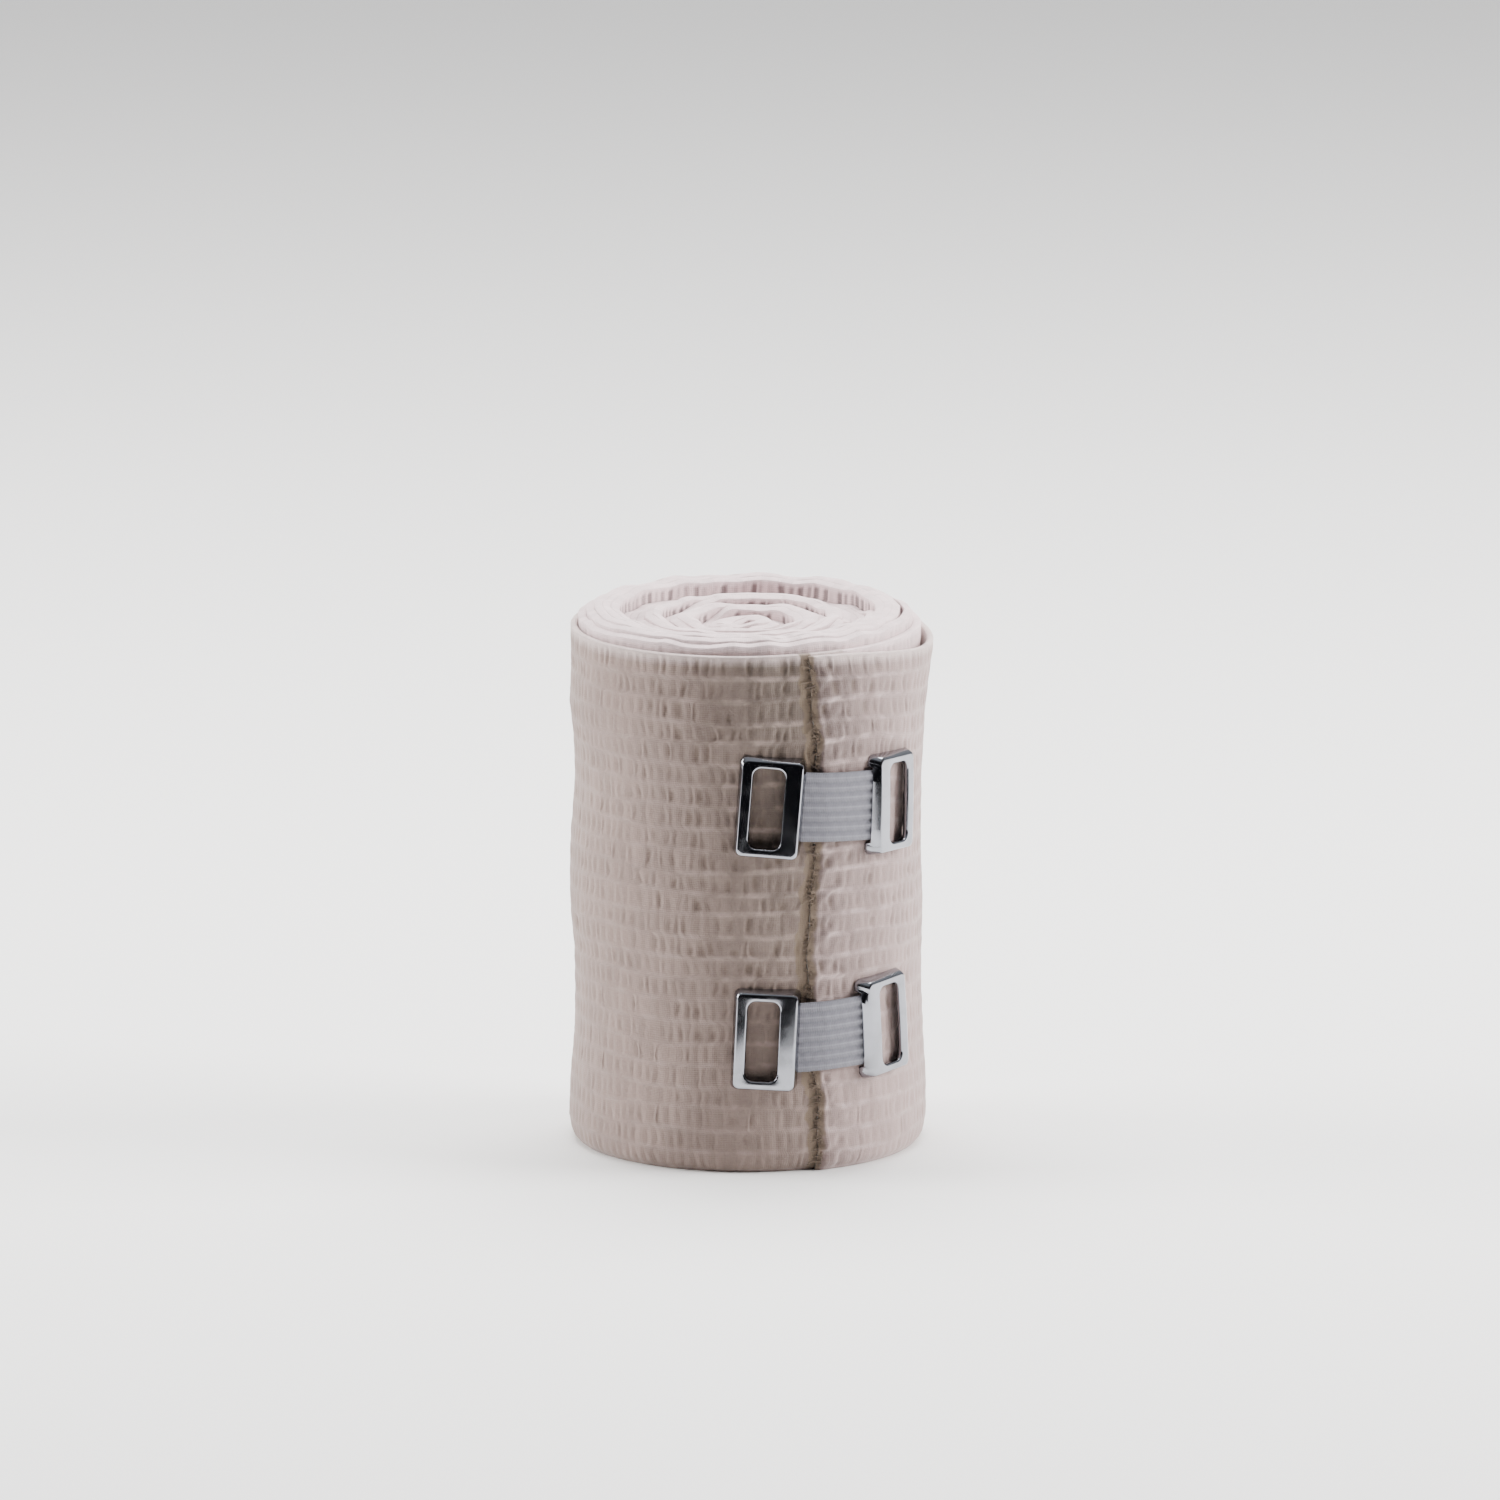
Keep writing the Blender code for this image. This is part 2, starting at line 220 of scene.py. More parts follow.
PUFFS = np.array([
    # towards +X, towards +Y, spread, height
    (-11.5, -5.0, 3.0, 0.7),
    (-4.2, -4.6, 2.4, 0.6),
    (2.6, -5.0, 2.2, 0.7),
    (12.4, -5.4, 3.0, 0.7),
    (-19.5, -6.0, 3.6, 0.5),
    (18.5, -7.5, 3.4, 0.5),
])
drift = np.random.default_rng(11)
TOP_DRIFT = drift.uniform(-1.0, 1.0, 400)
LUMP_DIRECTION = drift.uniform(0.0, 2.0 * math.pi, 14)
LUMP_LENGTH = drift.uniform(5.0, 13.0, 14)
LUMP_START = drift.uniform(0.0, 2.0 * math.pi, 14)
TOP_LUMPS = np.stack([
    2.0 * math.pi / LUMP_LENGTH * np.cos(LUMP_DIRECTION),
    2.0 * math.pi / LUMP_LENGTH * np.sin(LUMP_DIRECTION),
    LUMP_SHARE * LUMP_LENGTH,
    LUMP_START,
], axis=-1)


def top_height(winding):
    """Height of the upper edge: the table, plus lean, drift, lumps and puffs, less the sag."""
    radius = END_RADIUS - SHRINK * winding
    angle = np.radians(FREE_EDGE + winding)
    level = np.interp(radius, TOP_EDGE[:, 0], TOP_EDGE[:, 1])
    inside = eased(winding, DISH_FROM, DISH_BLEND)
    lean = -TOP_LEAN * radius / END_RADIUS * np.cos(angle) * inside
    wave = DRIFT_HEIGHT * np.interp(winding / DRIFT_DEGREES, np.arange(TOP_DRIFT.size), TOP_DRIFT)
    east = radius * np.sin(angle)
    north = -radius * np.cos(angle)
    lumps = sum(
        size * np.sin(kx * east - ky * north + start) for kx, ky, size, start in TOP_LUMPS
    )
    puffs = sum(
        size * np.exp(-((east - x) ** 2 + (north - y) ** 2) / spread**2)
        for x, y, spread, size in PUFFS
    )
    sag = TOP_SAG * smooth(1.0 - np.abs(winding - SAG_CENTRE) / SAG_HALF)
    return level + lean + wave + (lumps + puffs) * inside - sag


def lip_height(winding, depth):
    """Height across a layer's lip: it slopes to meet the next layer in, unless that is a step."""
    here = top_height(winding)
    step = top_height(winding + 360.0) - here
    joining = eased(winding, DISH_FROM, LIP_BLEND)
    return here + depth * np.clip(step, -LIP_STEP, LIP_STEP) * joining


print("upper edge, mm:", np.round(top_height(np.array([0.0, 60.0, 250.0, 800.0, 5000.0])), 1))

# %% [markdown]
# The weave
#
# Crepe has pale cords along the strip, 4.15 mm apart, and between two cords the cloth puckers
# into short upright ribs, about 2 mm apart, with a darker pocket between each two. No two
# rows line up, and some pockets are deep while others barely show. The cloth gets its own
# lattice: U counts ribs along the strip and V counts rows across it. The mesh columns follow
# the ribs, so a pocket under 1 mm wide is crisp with only a few points, and the same U and V
# become the UV map that the material reads.

# %% The lattice of ribs and rows
RIB_PITCH = 1.95
ROWS = 24
ROW_BLEND = 0.1
RELIEF = 0.38
RIB_COUNT = 1250
CORD_MARGIN = 0.16
POCKET_GAIN = 1.3
POCKET_FLAT = 1.35
POCKET_INNER = 0.3
POCKET_SLOPE = 0.8
POCKET_SOFT = 0.1
GROUND_LEVEL = 0.75
BELLY_LEAST = 0.1
BELLY_MORE = 0.4
CORD_SPREAD = 0.09
CORD_LEAST = 0.1
CORD_MORE = 0.2
CORD_STRETCH = 0.37
CORD_SHIFT = 9.0
SETTLE_RIBS = 3.0
TOP_ROW_END = ROWS - 1e-6

# Random tables, with a value for each rib of each row
dice = np.random.default_rng(5)
ROW_SHIFT = dice.uniform(-0.5, 0.5, (ROWS, 1)) * np.ones((1, RIB_COUNT))
RIB_JITTER = dice.uniform(-0.28, 0.28, (ROWS, RIB_COUNT))
RIB_SLANT = dice.normal(0.0, 0.3, (ROWS, RIB_COUNT))
RIB_BEND = dice.normal(0.0, 0.12, (ROWS, RIB_COUNT))
RIB_FULLNESS = dice.uniform(0.0, 1.0, (ROWS, RIB_COUNT))
POCKET_DEPTH = 0.1 + 0.8 * dice.beta(1.1, 1.7, (ROWS, RIB_COUNT))
POCKET_WIDTH = dice.uniform(0.2, 0.56, (ROWS, RIB_COUNT))
POCKET_CENTRE = dice.uniform(0.26, 0.56, (ROWS, RIB_COUNT))
POCKET_LENGTH = dice.uniform(0.3, 0.56, (ROWS, RIB_COUNT))
# The top row has no cord above it, so its pockets reach higher
POCKET_CENTRE[-1] = 0.6
POCKET_LENGTH[-1] = 0.62

# How far the cords stray, the ragged lines of the raw edge, and the creases beside it
WAVER_RIBS = 7.0
WAVER = dice.normal(0.0, 0.3, (ROWS + 1, 200))
WAVER[[0, -1]] = 0.0
RAGGED = dice.uniform(-1.0, 1.0, (3, 200))
CRUMPLE = np.stack([
    2.0 * math.pi / dice.uniform(2.2, 5.0, 9) * np.cos(dice.uniform(0.0, math.pi, 9)),
    2.0 * math.pi / dice.uniform(2.2, 5.0, 9) * np.sin(dice.uniform(0.0, math.pi, 9)),
    dice.uniform(0.0, 2.0 * math.pi, 9),
], axis=-1)
CRUMPLE_DEPTH = 0.1
CRUMPLE_REACH = 9.0

# Where the clips draw the cloth: degrees from the front, and shares of the strength
PULL_CENTRE = 2.0
PULL_SPREAD = 34.0
PULL_EVERYWHERE = 0.36
PULL_IN_FRONT = 0.48
PULL_PATCHY = 0.16
PATCH_WAVES = (
    # radians for each degree round, and for each millimetre up, start
    (0.061, 0.13, 0.0),
    (0.047, -0.09, 1.0),
)
CALM_LEAST = 0.5
CALM_HEIGHT = 45.0
# Where the cloth is drawn thin at the seam and shade is painted on the front of the roll, more so
# higher up
THIN_SHADE_CENTRE = 15.0
THIN_SHADE_SPREAD = 34.0
THIN_SHADE_LOW = 0.3


def line_below(place, count):
    """The line of a table that a place is on: the whole number below it, within the table."""
    return np.clip(np.floor(place).astype(int), 0, count - 1)


def part_of_row(row):
    """How far up its own row a place is, 0 to 1."""
    return row - np.floor(np.minimum(row, TOP_ROW_END))


def by_cell(table, rib, row):
    """A table's value at a place: straight between ribs, and blended where two rows meet."""
    low = line_below(rib, RIB_COUNT - 1)
    share = np.clip(rib - low, 0.0, 1.0)
    here = line_below(row, ROWS)
    part = row - here
    down = 0.5 * np.clip(1.0 - part / ROW_BLEND, 0.0, 1.0)
    up = 0.5 * np.clip((part - 1.0 + ROW_BLEND) / ROW_BLEND, 0.0, 1.0)

    def along(line):
        kept = np.clip(line, 0, ROWS - 1)
        return table[kept, low] * (1.0 - share) + table[kept, low + 1] * share

    return along(here) * (1.0 - down - up) + along(here - 1) * down + along(here + 1) * up


def cloth_arc(rib, row):
    """Length from the free edge to a place: the pitch times U with its row's own shift."""
    settle = smooth(rib / SETTLE_RIBS)
    part = part_of_row(row)
    moved = by_cell(ROW_SHIFT, rib, row) + by_cell(RIB_JITTER, rib, row)
    arch = 4.0 * part * (1.0 - part)
    slanted = by_cell(RIB_SLANT, rib, row) * (part - 0.5) * arch
    bent = by_cell(RIB_BEND, rib, row) * arch
    return RIB_PITCH * (rib + settle * (moved + slanted + bent))


def waver(rib, row):
    """Millimetres that a cord strays up or down: a random value every few ribs, eased between."""
    line = line_below(row, ROWS)
    across = row - line
    station = rib / WAVER_RIBS
    first = np.floor(station).astype(int)
    along = smooth(station - first)
    low = WAVER[line, first] * (1.0 - along) + WAVER[line, first + 1] * along
    high = WAVER[line + 1, first] * (1.0 - along) + WAVER[line + 1, first + 1] * along
    return low * (1.0 - across) + high * across


def pull(angle, height):
    """How strongly the cloth is drawn: a bell curve in front, patches, and calm at the foot."""
    from_front = np.mod(angle + 180.0 + PULL_CENTRE, 360.0) - 180.0
    front = np.exp(-((from_front / PULL_SPREAD) ** 2))
    first, second = [
        np.sin(across * angle + up * height + start) for across, up, start in PATCH_WAVES
    ]
    calm = CALM_LEAST + (1.0 - CALM_LEAST) * smooth(height / CALM_HEIGHT)
    patches = PULL_PATCHY * (0.5 + 0.5 * first * second)
    return (PULL_EVERYWHERE + PULL_IN_FRONT * front + patches) * calm


def thinness_and_shade(angle, height):
    """0 to 1: the cloth drawn thin and browner, with painted shade on the front; a bell at the
    seam, stronger higher up.
    """
    from_seam = np.mod(angle + 180.0 - THIN_SHADE_CENTRE, 360.0) - 180.0
    bell = np.exp(-((from_seam / THIN_SHADE_SPREAD) ** 2))
    return bell * (THIN_SHADE_LOW + (1.0 - THIN_SHADE_LOW) * height / BANDAGE_WIDTH)


def ragged(line, height, pitch):
    """A random line, -1 to 1, that changes every pitch millimetres of height."""
    return np.interp(height / pitch, np.arange(RAGGED.shape[1]), RAGGED[line])


def crumple(arc, height):
    """Creases of the frayed end: a sum of random sines that fades away from the edge."""
    waves = sum(np.sin(kx * arc + ky * height + start) for kx, ky, start in CRUMPLE)
    return CRUMPLE_DEPTH * waves * (1.0 - smooth(arc / CRUMPLE_REACH))


def pocket(rib, row, strength):
    """How deep in a pocket a place is, 0 to 1: near a whole U, and clear of the cords."""
    away = np.abs(rib - np.round(rib))
    part = part_of_row(row)
    nearest = line_below(np.round(rib), RIB_COUNT)
    line = line_below(row, ROWS)
    from_centre = np.abs(part - POCKET_CENTRE[line, nearest]) / POCKET_LENGTH[line, nearest]
    between_cords = smooth(POCKET_FLAT * (1.0 - from_centre)) * smooth(part / CORD_MARGIN)
    between_cords = between_cords * smooth((1.0 - part) / CORD_MARGIN)
    width = POCKET_WIDTH[line, nearest]
    near = 1.0 - smooth((away - POCKET_INNER * width) / (POCKET_SLOPE * width + POCKET_SOFT))
    deep = np.clip(POCKET_DEPTH[line, nearest] * strength * POCKET_GAIN, 0.0, 1.0)
    return deep * between_cords * near


def relief(rib, row, hollow):
    """Height of the weave, about 0 to 1.2: a belly on each rib and a soft cord, less the pocket."""
    part = part_of_row(row)
    belly = np.sin(np.pi * (rib - np.floor(rib))) * np.sin(np.pi * part)
    fullness = BELLY_LEAST + BELLY_MORE * by_cell(RIB_FULLNESS, rib, row)
    cord = np.exp(-((np.minimum(part, 1.0 - part) / CORD_SPREAD) ** 2))
    elsewhere = rib * CORD_STRETCH + CORD_SHIFT
    cord_swell = CORD_LEAST + CORD_MORE * by_cell(RIB_FULLNESS, elsewhere, row)
    return GROUND_LEVEL + fullness * belly + cord_swell * cord - hollow


print("rows:", ROWS, "row pitch, mm:", round(BANDAGE_WIDTH / ROWS, 2))

# %% [markdown]
# Turning grids into meshes
#
# Every piece here is a ring of points carried along a path, so one helper serves them all.
# The points arrive as a (columns, around, 3) array in millimetres. Faces are index arrays
# made by shifting a grid of numbers, with no loop over points.

# %% A mesh from a carried ring
def grid_faces(columns, around, closed):
    """Quads between neighbouring columns. Around always closes, along only if asked."""
    index = np.arange(columns * around).reshape(columns, around)
    first = index if closed else index[:-1]
    second = np.roll(index, -1, axis=0) if closed else index[1:]
    corners = (first, second, np.roll(second, -1, axis=1), np.roll(first, -1, axis=1))
    return np.stack(corners, axis=-1).reshape(-1, 4)


def add_mesh(name, points, quads, triangles=None, uv=None, masks=None):
    """One object from points in millimetres, with its UV map and its named point masks."""
    mesh = bpy.data.meshes.new(name)
    flat = points.reshape(-1, 3) * MM
    extra = np.empty((0, 3), int) if triangles is None else triangles
    corners = np.concatenate([quads.ravel(), extra.ravel()]).astype(np.int32)
    sizes = np.concatenate([np.full(len(quads), 4), np.full(len(extra), 3)])
    starts = np.concatenate([[0], np.cumsum(sizes)[:-1]]).astype(np.int32)
    mesh.vertices.add(len(flat))
    mesh.vertices.foreach_set("co", flat.ravel().astype(np.float32))
    mesh.loops.add(len(corners))
    mesh.loops.foreach_set("vertex_index", corners)
    mesh.polygons.add(len(sizes))
    mesh.polygons.foreach_set("loop_start", starts)
    mesh.update(calc_edges=True)
    if uv is not None:
        layer = mesh.uv_layers.new(name="weave")
        layer.uv.foreach_set("vector", uv.reshape(-1, 2)[corners].ravel().astype(np.float32))
    for mask, values in (masks or {}).items():
        made = mesh.attributes.new(mask, "FLOAT", "POINT")
        made.data.foreach_set("value", values.ravel().astype(np.float32))
    mesh.validate()
    mesh.shade_smooth()
    piece = bpy.data.objects.new(name, mesh)
    bpy.context.scene.collection.objects.link(piece)
    print(name, "triangles:", len(quads) * 2 + len(extra))
    return piece


def polar(angle, radius, height):
    """Points at angles round the roll: x = r sin a, y = -r cos a."""
    turn = np.radians(angle)
    return np.stack([radius * np.sin(turn), -radius * np.cos(turn), height], axis=-1)


# %% [markdown]
# One strip, three lengths of it
#
# A strip of cloth with a thickness has a closed outline across it: up the outer face, over
# the upper edge, down the inner face and under the lower edge. Carrying that outline along
# the spiral gives the sheet. The strip is made in three lengths that meet edge to edge, so
# that the two that show can spend their points on the weave: the loose end, the outermost
# turn, and all the turns inside.

# %% The outline across the strip
def across_strip(outer_rows, inner_rows):
    """Row, depth share and upward push of each point round the strip's outline."""
    outer = np.asarray(outer_rows, float)
    inner = np.asarray(inner_rows, float)[::-1]
    lip = np.array([0.06, 0.32, 0.68, 0.94])
    push = np.array([0.11, 0.25, 0.25, 0.11])
    row = np.concatenate([outer, np.full(4, float(ROWS)), inner, np.zeros(4)])
    depth = np.concatenate([0.0 * outer, lip, 0.0 * inner + 1.0, lip[::-1]])
    lift = np.concatenate([0.0 * outer, push, 0.0 * inner, -push[::-1]])
    return row, depth, lift


def every_row(parts):
    """Row positions: the same parts of each row, with the last cord added."""
    return np.append((np.arange(ROWS)[:, None] + np.array(parts)).ravel(), ROWS)


def every_rib(first, last, parts):
    """Rib positions from first to last: the same parts of each rib, ends included."""
    whole = np.arange(math.floor(first), math.ceil(last))
    ribs = (whole[:, None] + np.array(parts)).ravel()
    inside = ribs[(ribs > first + RIB_ROOM) & (ribs < last - RIB_ROOM)]
    return np.concatenate([[first], inside, [last]])


# Where the points of the strip lie: parts of a row, and parts of a rib
FINE_ROWS = every_row((0.0, 0.09, 0.21, 0.36, 0.52, 0.7, 0.88))
PLAIN_ROWS = np.linspace(0.0, ROWS, 25)
FINE_RIBS = (0.0, 0.12, 0.3, 0.5, 0.7, 0.88)
EDGE_THINNING = 0.85
EDGE_THIN_RIBS = (0.06, 0.62)
EDGE_RAGGED = 0.5
RAGGED_PITCH = 0.75
FRAYED_RIBS = 0.9
LIP_ROWS = 0.55
LIP_EVEN = 0.5
LIP_FOLLOWS = 0.6
OUTER_SIDE_DRAW = 0.3
WEAVE_LEVEL = 0.85
INNER_RELIEF = 0.7
EDGE_ROOM = 0.25
FLOOR_ROOM = 0.02
CORE_ROOM = 0.25
RIB_ROOM = 0.04
print("points round the strip:", FINE_ROWS.size + PLAIN_ROWS.size + 8)


# %% Masks for the material
# The strip beside the free edge, painted as brown thread and the shadow of the lifted edge
SEAM_STRIP = 4.5
SEAM_RAGGED = (
    # line of random numbers, degrees, millimetres between its values
    (1, 1.1, 2.6),
    (2, 0.7, 0.9),
)
SEAM_FADE = 1.8
SEAM_OVERLAP = 1.5
SEAM_ENDS = 380.0
RAW_SHARE = 0.9
RAW_RIBS = (0.05, 0.75)
RAW_ENDS = 30.0
BEHIND_IN = (45.0, 50.0)
BEHIND_OUT = (120.0, 110.0)


def seam_shadow_strip(winding, height):
    """0 to 1: the strip beside the free edge, one turn further in: brown thread and painted shadow.
    """
    before_edge = 360.0 + free_edge_offset(height) - winding
    reach = SEAM_STRIP
    for line, size, pitch in SEAM_RAGGED:
        reach = reach + size * ragged(line, height, pitch)
    return smooth((reach - before_edge) / SEAM_FADE) * smooth(before_edge + SEAM_OVERLAP)


def cloth_masks(rib, row, winding, height, hollow):
    """Values for each point: pocket, thinness with painted shade, lip painted paler for light from
    above, round the back, and raw edge with the painted shadow beside it.
    """
    raw_edge = RAW_SHARE * (1.0 - eased(rib, *RAW_RIBS))
    # Beside the free edge, on the turn beneath: brown thread and the painted shadow of the lifted
    # loose end
    strip = np.where(winding < SEAM_ENDS, seam_shadow_strip(winding, height), 0.0)
    return {
        "hollow": hollow,
        "thin_and_shaded": thinness_and_shade(FREE_EDGE + winding, height),
        # The upper lip, painted paler for the light that falls on it from above
        "lip": smooth((row - ROWS + LIP_ROWS) / LIP_ROWS),
        "behind": eased(winding, *BEHIND_IN) * (1.0 - eased(winding, *BEHIND_OUT)),
        "edge_brown_and_shadow": np.where(winding < RAW_ENDS, raw_edge, strip),
    }


# %% The strip itself
def lay_strip(
    first, last, rib_parts, outer_rows, inner_rows, draw,
    thickness=CLOTH, relief_depth=RELIEF, lip_push=1.0, covered=False,
):
    """Points, faces, UVs and masks of a length of the bandage between two winding angles.

    Radius is the layer's radius, less the thickness times the depth share, plus the weave's
    relief on the outer face and its mirror image on the inner one. Height is the row's share
    of the upper edge's height. Covered turns are drawn evenly, and mostly on their inner side.
    """
    ribs = every_rib(winding_to_arc(first) / RIB_PITCH, winding_to_arc(last) / RIB_PITCH, rib_parts)
    row, depth, lift = across_strip(outer_rows, inner_rows)
    rib_grid, row_grid = np.meshgrid(ribs, row, indexing="ij")
    winding = arc_to_winding(cloth_arc(rib_grid, row_grid))
    pinned = arc_to_winding(rib_grid * RIB_PITCH)
    height = lip_height(pinned, depth) * row_grid / ROWS + waver(rib_grid, row_grid)
    on_loose_end = np.clip(1.0 - winding / LOOSE_SPAN, 0.0, 1.0)
    winding = winding + free_edge_offset(height) * on_loose_end
    frayed = (1.0 - smooth(rib_grid / FRAYED_RIBS)) * (first == 0.0)
    winding = winding + EDGE_RAGGED * ragged(0, height, RAGGED_PITCH) * frayed
    angle = FREE_EDGE + winding
    side = 1.0 - 2.0 * depth
    pulled = np.where(side > 0, OUTER_SIDE_DRAW, 1.0) if covered else pull(angle, height)
    hollow = pocket(rib_grid, row_grid, pulled * draw)
    weave = relief(rib_grid, row_grid, hollow)
    thin = eased(rib_grid, *EDGE_THIN_RIBS)
    radius = wall_radius(winding, height) - thickness * depth
    radius += relief_depth * (weave - WEAVE_LEVEL) * np.where(side > 0, side, INNER_RELIEF * side)
    radius -= EDGE_THINNING * (1.0 - thin) * (1.0 - depth)
    radius += crumple(rib_grid * RIB_PITCH, height) * (first == 0.0)
    rise = lift * lip_push * (LIP_EVEN + LIP_FOLLOWS * weave) + EDGE_ROOM
    rise = np.where(row_grid > 0.5, rise - EDGE_ROOM, np.maximum(rise, FLOOR_ROOM))
    height = height + rise * np.where(row_grid > 0.5, 1.0, 1.0 - np.clip(row_grid, 0.0, 1.0))
    held_radius = np.maximum(radius, CORE_ROOM)
    points = polar(FREE_EDGE + winding, held_radius, np.maximum(height, FLOOR_ROOM))
    columns, around = rib_grid.shape
    quads = grid_faces(columns, around, closed=False)
    caps = np.concatenate([
        zip_cap(0, outer_rows, inner_rows, around)[:, ::-1],
        zip_cap((columns - 1) * around, outer_rows, inner_rows, around),
    ])
    uv = np.stack([rib_grid, row_grid], axis=-1)
    masks = cloth_masks(rib_grid, row_grid, winding, height, hollow)
    return points.reshape(-1, 3), quads, caps, uv.reshape(-1, 2), masks


def zip_cap(start, outer_rows, inner_rows, around):
    """Triangles that close one end: each outer step meets the nearest inner point."""
    outer = np.asarray(outer_rows, float)
    inner = np.asarray(inner_rows, float)
    count = outer.size
    match = np.abs(outer[:, None] - inner[None, :]).argmin(axis=1)
    inner_index = count + 4 + (inner.size - 1 - match)
    here = np.arange(count - 1)
    strips = np.stack([here, inner_index[:-1], here + 1], axis=-1)
    stepped = match[1:] != match[:-1]
    steps = np.stack([here + 1, inner_index[:-1], inner_index[1:]], axis=-1)[stepped]
    top = np.arange(count - 1, count + 5)
    top_fan = np.stack([np.full(4, top[0]), top[2:], top[1:-1]], axis=-1)[:4]
    low = np.concatenate([[count + 3 + inner.size], np.arange(around - 4, around), [0]])
    low_fan = np.stack([np.full(4, low[0]), low[2:], low[1:-1]], axis=-1)
    return start + np.concatenate([strips, steps, top_fan, low_fan])


# %% [markdown]
# The frayed edge
#
# The free edge is a raw cut, so short threads stand out of it and lie over the turn beneath.
# Each is a tapering tube with both its ends closed. All are computed together, as one array of
# threads, stations and ring points. They belong to the loose end's mesh, being its own yarn.

# %% Threads of the cut edge
THREADS = 420
STATIONS = 6
SIDES = 5
YARN = 0.12
HOVER = 0.16
ROOT_HEIGHTS = (0.8, 97.5)
KEPT_HEIGHTS = (0.3, 99.0)
LENGTHS = (0.25, 2.6)
LENGTH_SPREAD = (1.6, 0.42)
SLOPE_SPREAD = 0.45
CURL_SPREAD = 0.25
LIFT_MOST = 0.35
ROOT_TUCK = 0.9
ROOT_LIFT = 0.6
TAPER = 0.45
THREAD_THIN_AND_SHADED = 0.9
THREAD_BROWN = (0.45, 1.0)
yarn_dice = np.random.default_rng(23)


def fray():
    """Threads that run back from the edge by length times t, with a slope and a sine curl."""
    share = np.linspace(0.0, 1.0, STATIONS)[None, :]
    root = yarn_dice.uniform(*ROOT_HEIGHTS, (THREADS, 1))
    length = np.clip(LENGTHS[0] + yarn_dice.gamma(*LENGTH_SPREAD, (THREADS, 1)), *LENGTHS)
    slope = yarn_dice.normal(0.0, SLOPE_SPREAD, (THREADS, 1))
    curl = yarn_dice.normal(0.0, CURL_SPREAD, (THREADS, 1))
    lift = yarn_dice.uniform(0.0, LIFT_MOST, (THREADS, 1))
    height = np.clip(root + length * slope * share + curl * np.sin(np.pi * share), *KEPT_HEIGHTS)
    winding = free_edge_offset(root) + ROOT_TUCK - np.degrees(length * share / END_RADIUS)
    radius = wall_radius(winding + 360.0, height) + HOVER + lift * np.sin(np.pi * share)
    radius += ROOT_LIFT * CLOTH * (1.0 - share) ** 3
    spine = polar(FREE_EDGE + winding, radius, height)
    along = np.gradient(spine, axis=1)
    along /= np.linalg.norm(along, axis=2, keepdims=True)
    outward = spine * np.array([1.0, 1.0, 0.0])
    side = np.cross(along, outward)
    side /= np.linalg.norm(side, axis=2, keepdims=True)
    above = np.cross(side, along)
    turn = np.linspace(0.0, 2.0 * math.pi, SIDES, endpoint=False)[None, None, :, None]
    thick = YARN * (1.0 - TAPER * share)[:, :, None, None]
    ring = np.cos(turn) * side[:, :, None, :] + np.sin(turn) * above[:, :, None, :]
    points = spine[:, :, None, :] + thick * ring
    each = STATIONS * SIDES
    starts = (np.arange(THREADS) * each)[:, None, None]
    quads = (grid_faces(STATIONS, SIDES, closed=False)[None] + starts).reshape(-1, 4)
    fan = np.array([[0, 1, 2], [0, 2, 3], [0, 3, 4]])
    ends = np.concatenate([fan, fan[:, ::-1] + each - SIDES])
    caps = (ends[None] + starts).reshape(-1, 3)
    flat = THREADS * each
    row = np.repeat(root.ravel() / BANDAGE_WIDTH * ROWS, each)
    uv = np.stack([np.full(flat, 0.5), row], axis=-1)
    masks = {mask: np.zeros(flat) for mask in ("hollow", "lip", "behind")}
    # The threads take nearly all of the darker colour, the painted shade of the seam
    masks["thin_and_shaded"] = np.full(flat, THREAD_THIN_AND_SHADED)
    masks["edge_brown_and_shadow"] = np.repeat(yarn_dice.uniform(*THREAD_BROWN, THREADS), each)
    return points.reshape(-1, 3), quads, caps, uv, masks


def joined(first, second):
    """Two sets of points, faces, UVs and masks as one; the second's faces are counted on."""
    count = len(first[0])
    shifts = (0, count, count, 0)
    parts = [np.concatenate([a, b + shift]) for a, b, shift in zip(first, second, shifts)]
    masks = {key: np.concatenate([first[4][key].ravel(), second[4][key]]) for key in first[4]}
    return (*parts, masks)


# %% Lay the three lengths
INNER_ROWS = (0.0, 0.4, 12.0, 23.0, 23.4, 23.75, 24.0)
INNER_RIBS = (0.0, 0.16, 0.5, 0.84)
CORE_WINDING = (END_RADIUS - CORE_RADIUS) / SHRINK
loose_sheet = lay_strip(0.0, LOOSE_SPAN, FINE_RIBS, FINE_ROWS, PLAIN_ROWS, draw=1.3)
loose_cloth = add_mesh("loose_cloth", *joined(loose_sheet, fray()))
outer_sheet = lay_strip(LOOSE_SPAN, TUCKED_UNDER, FINE_RIBS, FINE_ROWS, PLAIN_ROWS, draw=1.0)
outer_turn = add_mesh("outer_turn", *outer_sheet)
inner_sheet = lay_strip(
    TUCKED_UNDER, CORE_WINDING, INNER_RIBS, INNER_ROWS, INNER_ROWS, draw=1.6,
    thickness=TURN_PITCH, relief_depth=0.28, lip_push=0.3, covered=True,
)
inner_turns = add_mesh("inner_turns", *inner_sheet)

# %% [markdown]
# The clips' hooks
#
# A hook is stamped from thin bright sheet: a flat frame round a window, with its outer edges
# turned down to the cloth and a small lip round the window. Its section is carried round a
# rectangle with round corners. Each foot of the section is moved along the hook's own
# outward direction until it stops just above what lies under it.

